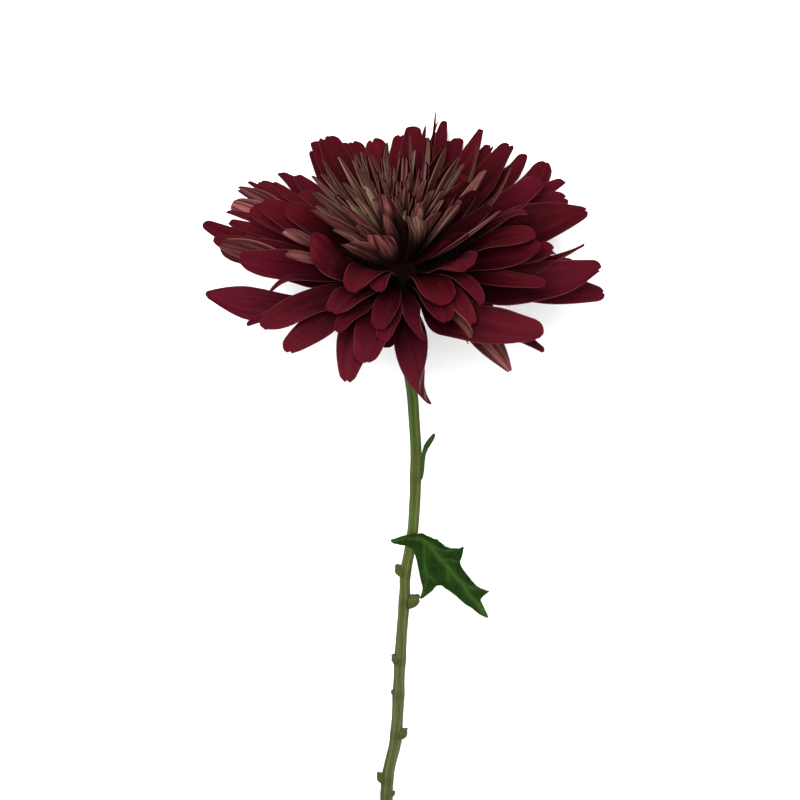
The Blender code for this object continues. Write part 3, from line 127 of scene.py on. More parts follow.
# Florets whose red faces show.
FACE_FLORETS = (
    # Hanging at the front.
    seen(9.2, -39.3, 47, 12.5, bow=12, cup=40, twist=-135, sway=-0.03, point=0.0, widest=0.6, buff=0.0),
    seen(8.2, -17.0, 46, 6.5, bow=18, cup=70, roll=-10, twist=-120, sway=-0.04, point=0.3, buff=0.0),
    seen(-19.2, -32.0, 53, 14.5, bow=12, sway=-0.06, point=0.7, widest=0.52),
    seen(-13.2, -25.4, 51, 13.0, bow=18, point=0.4),
    seen(-7.8, -14.0, 43, 8.6, bow=24, cup=25, point=0.1, widest=0.72),
    seen(-6.3, -18.0, 46, 8.0, bow=16),
    seen(-40.3, -21.8, 47, 12.5, bow=8, cup=40, roll=8, point=0.3),
    seen(-49.0, -13.0, 43, 12.5, bow=10, cup=35, roll=15, point=0.3),
    seen(-54.2, -12.4, 38, 7.5, roll=5, point=0.7),
    seen(-24.2, -8.0, 43, 12.0, bow=20, cup=25, point=0.3, widest=0.72),
    seen(-22.4, -14.7, 47, 8.5, bow=14, point=0.5),
    seen(-17.6, -0.8, 40, 12.0, bow=54, cup=40, point=0.3, widest=0.68),
    seen(-8.4, -0.6, 38, 8.5, bow=50, cup=50, sway=-0.05, point=0.3),
    seen(14.8, -5.2, 42, 12.5, bow=36, point=0.1, widest=0.74),
    seen(15.4, -11.2, 47, 9.6, bow=20, sway=0.03),
    seen(24.5, -12.4, 40, 8.0, bow=38, cup=45, hook=-10, point=0.3),
    seen(27.7, -5.2, 42, 7.0, bow=32, cup=55, hook=-30),
    seen(48.2, -16.4, 46, 24.0, bow=0, cup=40, roll=8, sway=-0.20, point=0.3, widest=0.72, waist=2.0),
    seen(49.4, -21.6, 41, 7.5, cup=40, point=0.6),
    seen(37.9, -28.6, 34, 9.5, bow=26, cup=40, roll=-150, point=1.0, widest=0.7, buff=0.0),
    seen(23.7, -17.8, 42, 13.5, bow=18, twist=130, point=0.8, buff=0.0),
    seen(23.4, 7.6, 40, 14.5, bow=34, cup=35, roll=32, hook=-20, point=0.0, widest=0.8),
    # Spread to the right.
    seen(69.8, 8.0, 16, 16.0, bow=-11, cup=40, roll=38, sway=-0.07, point=0.7, widest=0.62),
    seen(71.0, -1.6, 2, 12.5, bow=2, roll=30, point=0.5),
    seen(50.3, 1.9, 28, 6.8, bow=10, roll=25),
    seen(63.8, 16.2, 10, 9.0, bow=-17, cup=50, roll=25, twist=40, sway=-0.06, point=0.85, widest=0.45),
    seen(48.5, 15.4, 24, 12.0, bow=12, roll=28, hook=25),
    seen(53.2, 14.4, 18, 9.5, bow=10, roll=25, hook=20, widest=0.7),
    seen(46.8, 19.0, 22, 11.5, bow=24, cup=25, roll=12, point=0.15, widest=0.72),
    seen(64.9, 28.2, 2, 18.5, bow=5, cup=40, roll=38, twist=14, point=0.95, widest=0.6),
    seen(57.8, 32.6, -6, 13.0, bow=6, roll=20, point=0.35),
    seen(43.8, 27.0, 14, 6.5, bow=34, hook=-20, point=0.3),
    seen(57.0, 38.0, -14, 10.5, roll=12, point=0.6, widest=0.62),
    seen(49.4, 38.2, -4, 12.0, bow=6, cup=25, roll=18, point=0.3, widest=0.7),
    # Fanned out at the back, from right to left.
    seen(50.4, 45.0, -22, 14.5, bow=-4, roll=5, hook=40, point=0.4, widest=0.7),
    seen(43.2, 47.6, -28, 8.5, bow=0, hook=20, point=0.4, widest=0.7),
    seen(38.0, 51.2, -30, 11.5, bow=-4, roll=5, point=0.5, widest=0.64),
    seen(31.0, 50.7, -35, 7.5, bow=0, point=0.4),
    seen(27.8, 56.4, -35, 10.5, bow=-6, point=0.95, widest=0.56),
    seen(20.1, 52.9, -41, 9.0, bow=0, point=0.45),
    seen(14.9, 59.0, -40, 8.6, bow=-6, cup=35, point=0.75, widest=0.56),
    seen(4.0, 56.8, -42, 10.5, bow=-6, point=0.35),
    seen(-0.6, 53.3, -45, 9.0, bow=-2, point=0.3, widest=0.7),
    seen(-9.4, 52.4, -44, 10.6, bow=-5, widest=0.72),
    seen(-17.0, 51.6, -43, 9.6, bow=-4, widest=0.72),
    seen(-21.0, 51.2, -41, 7.5, bow=0, point=0.3),
    seen(-26.8, 53.8, -38, 12.5, bow=-8, cup=35, point=0.15, widest=0.7),
    seen(-30.8, 52.0, -39, 7.5, bow=-4),
    seen(-30.6, 49.2, -36, 11.5, bow=-6, cup=35, widest=0.7),
    seen(-43.0, 41.0, -34, 8.8, bow=2, point=0.55, widest=0.68),
    seen(-37.4, 40.0, -32, 9.0, roll=5, point=0.6),
    seen(-49.8, 38.0, -29, 9.0, bow=0, point=0.5),
    seen(-45.8, 37.2, -26, 8.0, point=0.7),
    seen(-54.0, 37.8, -24, 6.5, bow=2, point=0.8),
    seen(-57.4, 35.8, -19, 8.5, cup=60, roll=-20, twist=-120, point=0.8, buff=0.0),
    seen(-59.5, 30.2, -17, 10.5, cup=60, roll=-20, twist=-130, widest=0.7, buff=0.0),
    seen(-61.5, 27.4, -14, 8.0, point=0.8),
    seen(-60.6, 23.8, -8, 11.5, bow=-4, roll=10, point=0.8),
    # Spread to the left.
    seen(-69.6, 23.4, 0, 13.0, bow=-17, cup=40, roll=20, point=0.8, widest=0.6),
    seen(-66.0, 18.0, 6, 14.0, bow=-8, cup=45, roll=20, point=0.8, widest=0.6),
    seen(-63.8, 15.8, 10, 12.0, bow=-6, cup=60, roll=-20, twist=-120, point=0.5, buff=0.0),
    seen(-57.2, 11.0, 22, 14.5, bow=-2, roll=30, sway=0.03, point=0.5, widest=0.58),
    seen(-53.0, 28.6, -6, 12.0, roll=15, point=0.3, widest=0.7),
    seen(-49.8, 29.9, 0, 12.4, bow=5, cup=25, roll=20, point=0.3, widest=0.7),
    seen(-41.0, 29.0, 2, 12.0, bow=8, cup=25, roll=22, point=0.3, widest=0.7),
    seen(-30.8, 20.8, 16, 19.0, bow=0, roll=45, hook=20, sway=0.24, point=0.0, widest=0.7),
    seen(-41.6, 20.6, 8, 7.5, bow=-4, cup=70, roll=-20, twist=-90, point=0.3, buff=0.0),
    seen(-40.8, 12.8, 16, 6.5, bow=-4, cup=80, roll=-20, twist=-90, point=0.3, buff=0.0),
    seen(-69.0, -1.8, 12, 12.5, bow=-6, cup=35, roll=42, sway=0.15, point=0.9, widest=0.76, waist=3.0),
    seen(-46.5, -1.0, 30, 5.0, bow=-4, cup=40, hook=-50, sway=-0.05, point=0.8),
    # Behind the gaps of the upper right.
    seen(9.4, 52.0, -46, 9.0, bow=0, point=0.4),
    seen(17.4, 51.6, -43, 8.0, bow=0, point=0.3),
    seen(34.2, 48.2, -36, 8.5, bow=0, point=0.5),
    seen(41.6, 45.2, -32, 8.5, bow=0, point=0.7),
    seen(8.2, 57.0, -41, 4.2, bow=0, point=1.0, widest=0.5),
)

# Florets of the heart, which turn their buff backs outwards, in the same terms.
HEART_FLORETS = (
    # Spoons at the front, then the two hooked ones.
    seen(-10.4, 19.4, 28, 13.2, bow=-14, cup=110, roll=-14, point=0.0, widest=0.72, buff=0.0),
    seen(-20.8, 15.2, 31, 12.5, bow=-6, cup=110, roll=-40, point=0.4, widest=0.62, buff=0.1),
    quill(-16.0, 22.6, 23, 8.0, 120, -40, 0.1, point=0.5, widest=0.66),
    seen(-24.2, 21.0, 26, 5.0, bow=6, cup=150, roll=-60, point=0.8, widest=0.5, buff=0.3),
    seen(1.8, 25.9, 33, 3.2, bow=-6, cup=70, roll=30, hook=20, sway=0.13, point=0.1, widest=0.74, buff=0.8),
    seen(5.0, 26.0, 31, 8.0, bow=-8, cup=130, roll=20, hook=30, sway=0.09, point=0.0, widest=0.8, buff=0.3),
    seen(7.6, 24.2, 28, 4.6, bow=-4, cup=160, roll=-20, sway=0.07, point=0.5, widest=0.65, buff=0.1),
    seen(6.0, 30.6, 24, 7.6, bow=-12, cup=140, hook=30, point=0.0, widest=0.78, buff=0.1),
    # In front of the quills, from left to right.
    seen(-7.0, 33.6, 29, 12.5, bow=-8, cup=110, point=0.5, widest=0.55, buff=0.0),
    seen(-8.0, 31.2, 25, 8.0, bow=-4, cup=140, point=0.6, widest=0.55, buff=0.0),
    seen(-6.2, 26.6, 32, 6.5, bow=-6, cup=120, point=0.8, widest=0.5, buff=0.0),
    quill(13.7, 27.3, 22, 9.4, 160, -10, 0.0, point=0.5, widest=0.66),
    quill(20.0, 30.0, 19, 5.8, 240, -20, 0.3, point=0.1, widest=0.8, sway=-0.12),
    seen(31.6, 28.8, 20, 10.5, bow=-4, cup=90, roll=25, sway=-0.08, point=0.5, widest=0.6, buff=0.0),
    quill(35.0, 27.6, 25, 7.0, 120, -10, 0.1, point=0.7, widest=0.6, sway=-0.22),
    seen(23.5, 18.5, 29, 8.5, cup=70, roll=30, point=0.6, buff=0.0),
    quill(18.9, 34.0, 13, 9.4, 140, 15, 0.0, point=0.5, widest=0.66),
    quill(23.6, 37.6, 8, 10.0, 100, 30, 0.0, point=0.5, widest=0.66),
    quill(26.2, 34.4, 12, 9.0, 110, 25, 0.0, point=0.5, widest=0.66, sway=-0.05),
    quill(29.6, 41.8, 6, 10.5, 210, -40, 0.1, point=0.5, widest=0.6, sway=-0.11),
    quill(39.2, 41.9, 3, 5.6, 240, -40, 0.1, point=0.8, widest=0.5, sway=-0.20),
    quill(26.8, 51.4, -4, 5.0, 240, -40, 0.4, point=0.9, widest=0.5, sway=-0.14),
    # Turned away to the left.
    quill(-32.2, 39.4, 2, 9.0, 240, -30, 0.4, point=0.7, widest=0.5, sway=0.03),
    quill(-31.8, 34.0, 9, 11.0, 230, -30, 1.0, widest=0.55, sway=0.05),
    quill(-32.2, 27.6, 18, 10.5, 220, -30, 0.0, point=0.7, widest=0.5, sway=0.03),
    quill(-28.4, 45.3, -5, 6.0, 250, -40, 0.5, point=0.8, widest=0.5, sway=0.04),
    quill(-28.7, 40.4, 0, 8.4, 250, -40, 0.8, point=0.7, widest=0.5, sway=0.02),
    quill(-22.4, 46.4, -4, 7.4, 260, -50, 0.5, point=0.8, widest=0.5, sway=0.03),
    quill(-20.8, 37.6, 6, 7.6, 260, -40, 0.4, point=0.7, widest=0.5),
    quill(-21.6, 29.6, 17, 9.0, 230, -30, 0.0, point=0.7, widest=0.5),
    quill(-19.8, 31.6, 14, 7.4, 250, -30, 0.9, point=0.7, widest=0.5),
    # Quills at the back, from left to right.
    quill(-17.5, 45.5, -5, 6.0, 300, -30, 0.5),
    quill(-16.6, 47.4, -7, 6.0, 300, 20, 0.4, point=0.7),
    quill(-14.4, 48.3, -9, 4.9, 300, -20, 0.8, point=0.7, sway=0.03),
    quill(-12.2, 46.6, -6, 8.6, 290, 30, 0.2, widest=0.6),
    quill(-10.7, 47.4, -8, 5.1, 290, -30, 0.8, point=0.7, sway=-0.04),
    quill(-6.7, 46.6, -5, 6.5, 300, 40, 0.7),
    quill(-5.0, 51.6, -10, 9.4, 280, 60, 0.45, point=0.7, widest=0.6, sway=0.03),
    quill(-0.5, 49.2, -9, 5.1, 300, 10, 0.4, point=0.7),
    quill(0.2, 46.9, -5, 8.9, 300, -20, 0.1),
    quill(2.6, 54.2, -12, 8.5, 280, 50, 0.3, point=1.0, widest=0.42, sway=-0.03),
    quill(4.6, 48.7, -6, 8.1, 290, -70, 0.5, widest=0.6),
    quill(9.1, 52.6, -10, 8.8, 280, 60, 0.5, point=0.5, widest=0.6, sway=-0.03),
    quill(11.8, 62.2, -15, 3.9, 200, 0, 0.0, point=1.0, widest=0.3, sway=-0.03),
    quill(12.6, 58.8, -14, 3.2, 200, 0, 0.1, point=1.0, widest=0.3, sway=0.02),
    quill(15.4, 50.0, -6, 11.5, 240, -30, 1.0, point=0.9, widest=0.6),
    quill(20.2, 46.5, -2, 11.0, 240, -30, 1.0, point=0.8),
    quill(20.4, 42.8, 1, 6.8, 280, -30, 0.9, point=0.7),
    quill(22.0, 44.0, 0, 8.4, 305, -50, 0.2, point=0.7, widest=0.55),
    # Quills before them.
    quill(-15.8, 42.7, -1, 10.0, 290, -50, 0.8, point=0.7),
    quill(-8.4, 41.3, 2, 7.6, 300, 30, 0.7),
    quill(-4.6, 43.8, -2, 7.4, 300, -30, 0.3),
    quill(-3.1, 42.6, 0, 9.1, 300, 30, 0.5, point=0.7),
    quill(1.8, 46.2, -3, 9.1, 300, 20, 0.2, point=0.7),
    quill(3.2, 41.7, 2, 7.9, 300, -40, 0.3),
    quill(8.1, 44.8, -1, 8.6, 290, 60, 0.1, point=0.5, widest=0.6),
    quill(6.4, 42.6, 2, 7.6, 300, 30, 0.2),
    quill(-9.8, 36.8, 9, 7.6, 300, 20, 0.3),
    quill(-6.6, 38.6, 6, 7.4, 300, -20, 0.6),
    quill(-1.8, 38.2, 6, 7.9, 300, 40, 0.4),
    quill(0.0, 38.2, 8, 7.4, 290, 0, 0.5, point=0.5, widest=0.6, hook=-40),
    quill(2.9, 39.5, 6, 9.1, 290, -60, 0.2, point=0.7),
    quill(6.7, 39.2, 5, 7.4, 300, 20, 0.3),
    quill(8.6, 38.5, 8, 9.6, 280, -60, 0.05, widest=0.55),
    quill(11.2, 35.0, 12, 7.4, 290, -30, 0.2),
    # The shortest quills, nearest the middle.
    quill(-16.5, 32.2, 12, 7.6, 290, -50, 0.4),
    quill(-13.0, 36.4, 13, 8.8, 280, -60, 0.85, sway=0.02),
    quill(-10.4, 31.6, 15, 7.9, 290, -30, 0.1),
    quill(-4.2, 34.7, 10, 7.0, 290, 30, 0.6),
    quill(-2.4, 32.9, 13, 8.2, 290, -40, 0.3, point=0.7),
    quill(-1.0, 34.3, 11, 7.0, 290, 20, 0.4),
    quill(1.1, 36.1, 13, 8.6, 280, -70, 0.6, point=0.7),
    quill(2.4, 35.3, 14, 9.1, 280, 60, 0.2, sway=0.03),
    quill(4.4, 33.0, 15, 8.5, 280, 50, 0.2, point=0.7),
)

# Hidden florets, by the spiral: how many, from and to what rise above the bloom's plane, reach and width,
# and which of its places stay empty.
GOLDEN_DEG = 137.508
BACK_SPIRAL = {
    "count": 92, "rise": (-9.0, 34.0), "reach": (68.0, 50.0), "width": (12.0, 9.0), "left_out": (10, 23),
}
FRONT_SPIRAL = {
    "count": 34, "rise": (-14.0, 22.0), "reach": (33.0, 31.0), "width": (8.5, 7.0),
    "left_out": (1, 9, 12, 17, 25),
}
CROWN_SPIRAL = {
    "count": 64, "rise": (46.0, 88.0), "reach": (43.0, 30.0), "width": (8.0, 6.8), "left_out": (),
}

# How far round from the back the hidden ones stand, and the florets that the bloom rests on.
BACK_HALF_DEG = 78.0
CROWN_HALF_DEG = 100.0
CROWN_OPEN_RISE = 73.0
FOOT_AZIMUTHS_DEG = (-32.0, -14.0, 8.0, 30.0)
FOOT_RISE_DEG = -12.0
FOOT_DEPTH = 13.0
FOOT_WIDTH = 12.5
CLEAR_OF_NEIGHBOUR_DEG = 6.0
SEED = 7


def rotation_axes(lean_deg):
    """Axes of something that leans this far above the table: right, back and along its axis."""
    lean = math.radians(lean_deg)
    back = Vector((0.0, math.sin(lean), -math.cos(lean)))
    along = Vector((0.0, math.cos(lean), math.sin(lean)))
    return Vector((1.0, 0.0, 0.0)), back, along


BLOOM_AXES = np.array(rotation_axes(BLOOM_LEAN_DEG))


def seen_to_bloom(right, up, toward):
    """The bloom's own x, y (back) and z (axis), in millimetres, of a place that the viewer sees."""
    nearer = 1.0 - toward * MM / VIEW_DISTANCE
    right *= nearer
    up = VIEW_AIM_UP + (up - VIEW_AIM_UP) * nearer
    rise = math.radians(VIEW_RISE_DEG)
    back = up * math.sin(rise) - toward * math.cos(rise)
    along = up * math.cos(rise) + toward * math.sin(rise)
    return np.array((right, back, along))


def bloom_to_world(points):
    """World metres of bloom millimetres."""
    return np.asarray(points) @ BLOOM_AXES * MM + np.array(BLOOM_CENTRE)


def soft_above(value, limit, softness):
    """The value, eased so that it never falls below the limit."""
    return limit + softness * np.logaddexp(0.0, (value - limit) / softness)


def keep_side_of_cone(points, heart):
    """Points moved, where need be, to their own side of the cone between the heart and the rest."""
    radius = np.hypot(points[..., 0], points[..., 1])
    rise = points[..., 2] - CONE_APEX
    distance = np.maximum(np.hypot(radius, rise), CONE_NEAREST)
    angle = np.degrees(np.arctan2(radius, rise))
    margin = HEART_MARGIN if heart else SPREAD_MARGIN
    gap = np.degrees(margin / distance)
    if heart:
        moved = -soft_above(-angle, gap - CONE_HALF_DEG, CONE_SOFT_DEG)
        moved = np.maximum(moved, 0.0)
    else:
        moved = soft_above(angle, CONE_HALF_DEG + gap, CONE_SOFT_DEG)
    turned = np.radians(moved)
    shrink = np.where(radius > 1e-6, distance * np.sin(turned) / np.maximum(radius, 1e-6), 1.0)
    out = points.copy()
    out[..., 0] *= shrink
    out[..., 1] *= shrink
    out[..., 2] = CONE_APEX + distance * np.cos(turned)
    return out


def press(points):
    """World points, eased up and forwards where the table is in their way."""
    height = points[..., 2] / MM
    span = PRESS_FROM - PRESS_FLOOR
    low = PRESS_FLOOR + span * np.exp(np.minimum(height - PRESS_FROM, 0.0) / span)
    lift = np.where(height < PRESS_FROM, low - height, 0.0)
    out = points.copy()
    out[..., 2] += lift * MM
    out[..., 1] += lift * PRESS_SLIDE * MM
    return out


def smooth_step(value):
    """The value from 0 to 1, eased at both ends."""
    value = np.clip(value, 0.0, 1.0)
    return value * value * (3.0 - 2.0 * value)


def root_of(tip, heart):
    """Where a floret grows from the core, a little way inside it."""
    out = np.array((tip[0], tip[1], 0.0))
    out /= max(np.linalg.norm(out), 1e-6)
    if heart:
        from_axis = math.atan2(math.hypot(tip[0], tip[1]), tip[2] - HEART_BASE)
        share = min(from_axis / math.radians(CONE_HALF_DEG), 1.0)
        radius = (HEART_RADIUS - ROOT_DEPTH) * share
        sink = HEART_ROOT_SINK[0] + (HEART_ROOT_SINK[1] - HEART_ROOT_SINK[0]) * share * share
        rise = HEART_BASE + HEART_HEIGHT - ROOT_DEPTH * sink
    else:
        rise_deg = math.degrees(math.atan2(tip[2], math.hypot(tip[0], tip[1])))
        share = float(np.interp(rise_deg, ROOT_TIP_RISE_DEG, (0.0, 1.0)))
        radius = CORE_RADIUS - (ROOT_INSET[0] + (ROOT_INSET[1] - ROOT_INSET[0]) * share)
        rise = ROOT_RISE[0] + (ROOT_RISE[1] - ROOT_RISE[0]) * share
    return out * radius + np.array((0.0, 0.0, rise))


def spine_shape(bow, hook):
    """A unit chord's curve in its own plane, with its direction, at even steps."""
    u = np.linspace(0.0, 1.0, SPINE_STEPS)
    curl = smooth_step((u - HOOK_FROM) / (1.0 - HOOK_FROM))
    angle = np.radians(bow) * (1.0 - 2.0 * u) + np.radians(hook) * curl
    step = u[1] - u[0]
    x = np.concatenate([[0.0], np.cumsum(np.cos((angle[1:] + angle[:-1]) / 2.0)) * step])
    y = np.concatenate([[0.0], np.cumsum(np.sin((angle[1:] + angle[:-1]) / 2.0)) * step])
    chord = math.hypot(x[-1], y[-1])
    turn = math.atan2(y[-1], x[-1])
    along = (x * math.cos(turn) + y * math.sin(turn)) / chord
    across = (y * math.cos(turn) - x * math.sin(turn)) / chord
    return u, along, across, angle - turn


def width_share(facts, u):
    """A floret's width along its length: a narrow claw, a blade, and an end that its round tip leaves."""
    widest, heart = facts["widest"], facts["heart"]
    claw = HEART_CLAW if heart else SPREAD_CLAW
    end = (HEART_END if heart else SPREAD_END) * (1.0 - POINT_NARROWS * facts["point"])
    rise = claw + (1.0 - claw) * np.sin(np.pi / 2.0 * np.clip(u / widest, 0.0, 1.0) ** facts["waist"])
    fall = 1.0 - (1.0 - end) * np.clip((u - widest) / (1.0 - widest), 0.0, 1.0) ** END_ROUND
    return np.where(u < widest, rise, fall)


def floret_points(floret, u, v):
    """The middle surface of a floret, in world metres, at u along it and v, -1 to 1, across it."""
    root, tip = floret["root"], floret["tip"]
    chord = tip - root
    length = np.linalg.norm(chord)
    ahead = chord / length
    flat = np.array((tip[0], tip[1], 0.0))
    flat /= max(np.linalg.norm(flat), 1e-6)
    side = np.cross((0.0, 0.0, 1.0), flat)
    side -= ahead * (side @ ahead)
    side /= np.linalg.norm(side)
    face = np.cross(ahead, side)

    steps, along, across, angle = spine_shape(floret["bow"], floret["hook"])
    x, y = np.interp(u, steps, along), np.interp(u, steps, across)
    heading = np.interp(u, steps, angle)[..., None]
    sway = floret["sway"] * 4.0 * u * (1.0 - u)
    spine = root + length * (x[..., None] * ahead + y[..., None] * face + sway[..., None] * side)
    up_face = face * np.cos(heading) - ahead * np.sin(heading)

    roll = np.radians(floret["roll"] + floret["twist"] * u**3)[..., None]
    normal = up_face * np.cos(roll) + side * np.sin(roll)
    sideways = side * np.cos(roll) - up_face * np.sin(roll)

    half = 0.5 * floret["width"] * width_share(floret, u)
    at_foot = np.clip(1.0 - u / FOOT_CUP_SPAN, 0.0, 1.0) ** 2
    cup = np.radians(floret["cup"] + (FOOT_CUP_DEG - floret["cup"]) * at_foot)
    turn = v * cup / 2.0
    radius = 2.0 * half / cup
    point = spine + sideways * (radius * np.sin(turn))[..., None]
    point = point + normal * (radius * (1.0 - np.cos(turn)))[..., None]
    return press(bloom_to_world(keep_side_of_cone(point, floret["heart"])))


def floret_normals(floret, u, v):
    """Unit normals of the face side of a floret's middle surface."""
    nudge = 0.01
    ahead = floret_points(floret, u + nudge, v) - floret_points(floret, u - nudge, v)
    across = floret_points(floret, u, v + nudge) - floret_points(floret, u, v - nudge)
    normal = np.cross(ahead, across)
    return normal / np.linalg.norm(normal, axis=-1)[..., None]


def floret(given, tip, heart, rng):
    """One floret's facts. A roll turns its face towards the viewer, whichever side it is on."""
    facts = dict(given)
    facts["tip"] = tip
    facts["root"] = root_of(tip, heart)
    facts["heart"] = heart
    facts["roll"] *= -1.0 if tip[0] > 0.0 else 1.0
    facts["sway"] += rng.uniform(-0.012, 0.012)
    return facts


def seen_florets(rows, heart, rng):
    """The florets of a table of seen ones."""
    return [floret(row, seen_to_bloom(row["right"], row["up"], row["toward"]), heart, rng) for row in rows]


def spiral_florets(spiral, keep, heart, others):
    """Florets on a golden-angle spiral, where keep allows and no other points the same way."""
    made = []
    taken = [f["tip"] / np.linalg.norm(f["tip"]) for f in others]
    for i in range(spiral["count"]):
        rng = random.Random(SEED * spiral["count"] + i)
        share = (i + 0.5) / spiral["count"]
        azimuth = math.radians(i * GOLDEN_DEG)
        rise_deg, reach, width = (
            spiral[name][0] + (spiral[name][1] - spiral[name][0]) * share
            for name in ("rise", "reach", "width")
        )
        rise = math.radians(rise_deg + rng.uniform(-2.5, 2.5))
        reach *= rng.uniform(0.95, 1.03)
        tip = reach * np.array(
            (math.cos(rise) * math.sin(azimuth), math.cos(rise) * math.cos(azimuth), math.sin(rise))
        )
        aim = tip / reach
        if i in spiral["left_out"] or not keep(azimuth, rise_deg):
            continue
        if any(aim @ other > math.cos(math.radians(CLEAR_OF_NEIGHBOUR_DEG)) for other in taken):
            continue
        given = seen(
            0, 0, 0, width,
            bow=0.0 if heart else rng.uniform(-4.0, 10.0),
            cup=rng.uniform(275.0, 310.0) if heart else rng.uniform(20.0, 45.0),
            roll=rng.uniform(-10.0, 10.0),
            sway=rng.uniform(-0.02, 0.02),
            point=rng.uniform(0.4, 0.7) if heart else rng.uniform(0.0, 0.35),
            widest=0.6 if heart else rng.uniform(0.62, 0.76),
            buff=rng.uniform(0.0, 0.6) if heart else rng.uniform(0.0, 0.3),
        )
        made.append(floret(given, tip, heart, rng))
    return made


def foot_florets(rng):
    """Long florets of the lower rim, which the table bends flat and the bloom rests on."""
    made = []
    for azimuth_deg in FOOT_AZIMUTHS_DEG:
        azimuth, rise = math.radians(azimuth_deg), math.radians(FOOT_RISE_DEG)
        flat = math.cos(rise)
        aim = np.array((flat * math.sin(azimuth), flat * math.cos(azimuth), math.sin(rise)))
        fall = -(aim @ BLOOM_AXES)[2]
        reach = (BLOOM_CENTRE.z / MM + FOOT_DEPTH) / fall
        made.append(floret(seen(0, 0, 0, FOOT_WIDTH), reach * aim, False, rng))
    return made


def behind(azimuth, rise_deg):
    """Whether a spiral floret is at the back, where the bloom hides it from the viewer."""
    from_back = abs(math.degrees(math.atan2(math.sin(azimuth), math.cos(azimuth))))
    return from_back < BACK_HALF_DEG + min(rise_deg, 8.0)


def in_front(azimuth, rise_deg):
    """Whether a spiral floret is at the front."""
    return not behind(azimuth, rise_deg)


def crowning(azimuth, rise_deg):
    """Whether a spiral floret of the heart leaves the view of the florets in front of it open."""
    from_back = abs(math.degrees(math.atan2(math.sin(azimuth), math.cos(azimuth))))
    return rise_deg > CROWN_OPEN_RISE or from_back < CROWN_HALF_DEG


def all_florets():
    """The spreading florets, then the heart's."""
    rng = random.Random(SEED)
    spread = seen_florets(FACE_FLORETS, False, rng) + foot_florets(rng)
    spread += spiral_florets(BACK_SPIRAL, behind, False, spread)
    spread += spiral_florets(FRONT_SPIRAL, in_front, False, spread)
    heart = seen_florets(HEART_FLORETS, True, rng)
    heart += spiral_florets(CROWN_SPIRAL, crowning, True, heart)
    return spread, heart


# How fine the meshes are: points along and across a spreading floret and a heart floret, how much closer
# their rows stand at the tip and, as an angle, their columns at the margins, and how many share a piece.
SPREAD_GRID = (38, 17)
HEART_GRID = (30, 11)
ROW_CROWDING = 1.3
COLUMN_CROWDING = 1.35
FLORETS_PER_PIECE = 48

# A floret's thickness in millimetres, thinner at its margins and towards its tip.
SPREAD_THICK = 0.34
HEART_THICK = 0.42
MARGIN_THIN = 0.45
FOOT_THICK = 1.25
TIP_THINS = 0.6

# What each floret draws for itself: how round its tip is, its notch, how deep its grooves are, and its
# margins' waves and its tip's curl. Sizes are in millimetres for a floret as wide as DETAIL_WIDTH. Grooves
# and waves are full from the share of its length GROWN_AT on.
DETAIL_WIDTH = 10.0
TIP_ROUNDER = (0.85, 1.15)
TIP_SQUARENESS = 2.2
NOTCHES = (0.0, 0.0, 0.007, 0.014, 0.022)
NOTCH_SPAN = (-0.35, 0.35)
NOTCH_WIDE = 0.14
SPREAD_GROOVE = 0.58
HEART_GROOVE = 0.16
GROOVE_DEEPER = (0.6, 1.5)
GROOVE_SPAN = (0.34, 0.46)
SIDE_GROOVE_WIDE = 0.13
MIDDLE_GROOVE_WIDE = 0.1
WAVE_SIZE = (0.25, 0.65)
WAVE_TURNS = (1.2, 2.8)
WAVE_START = (0.0, 6.28)
TIP_CURL = (-0.5, 1.0)
GROWN_AT = 0.25

# Painted shade: each floret is painted darker towards its root, and on the steeper florets, which stand among
# others, that painted shade reaches further up; the faces of the heart's florets take more of it still.
SPREAD_SHADED_DEG = (15.0, 70.0)
HEART_SHADED_DEG = (54.0, 82.0)
SPREAD_SHADE = 1.8
HEART_SHADE = 2.7
HEART_FACE_SHADE = 0.55

# Florets whose tips rise less than the first angle above the bloom's plane are the oldest, and those above
# the second are the youngest.
AGE_RISE_DEG = (-6.0, 22.0)

PETAL_SLOT, BACK_SLOT, CALYX_SLOT, STEM_SLOT, LEAF_SLOT = "petal", "petal_back", "calyx", "stem", "leaf"


def add_details(florets):
    """Gives each floret its own tip, grooves and waves, from a draw that its place in the list sets."""
    for i, facts in enumerate(florets):
        rng = random.Random(SEED + 1000 * (i + 1))
        size = facts["width"] / DETAIL_WIDTH
        facts["seed"] = rng.random()
        length = np.linalg.norm(facts["tip"] - facts["root"])
        end_half = 0.5 * facts["width"] * width_share(facts, 1.0)
        facts["round_tip"] = end_half / length * rng.uniform(*TIP_ROUNDER)
        facts["notch"] = rng.choice(NOTCHES)
        facts["notch_at"] = rng.uniform(*NOTCH_SPAN)
        groove = HEART_GROOVE if facts["heart"] else SPREAD_GROOVE
        facts["groove"] = groove * size * rng.uniform(*GROOVE_DEEPER)
        facts["groove_at"] = rng.uniform(*GROOVE_SPAN)
        facts["waves"] = [
            (rng.uniform(*WAVE_SIZE) * size, rng.uniform(*WAVE_TURNS), rng.uniform(*WAVE_START))
            for _ in range(2)
        ]
        facts["curl"] = rng.uniform(*TIP_CURL) * size


def relief(facts, u, v):
    """How far the surface stands out from a smooth cup, in mm: grooves, wavy margins and a tip curl."""
    grown = smooth_step(u / GROWN_AT)
    groove = np.exp(-(((np.abs(v) - facts["groove_at"]) / SIDE_GROOVE_WIDE) ** 2))
    groove = groove + 0.5 * np.exp(-((v / MIDDLE_GROOVE_WIDE) ** 2))
    out = -facts["groove"] * groove * grown * (1.0 - 0.4 * smooth_step((u - 0.8) / 0.2))
    if not facts["heart"]:
        for side, (size, turns, start) in zip((-1.0, 1.0), facts["waves"]):
            margin = smooth_step(np.maximum(side * v, 0.0)) ** 2
            out = out + size * margin * np.sin(2.0 * np.pi * turns * u + start) * grown
        out = out + facts["curl"] * smooth_step((u - 0.75) / 0.25) * v * v
    return out


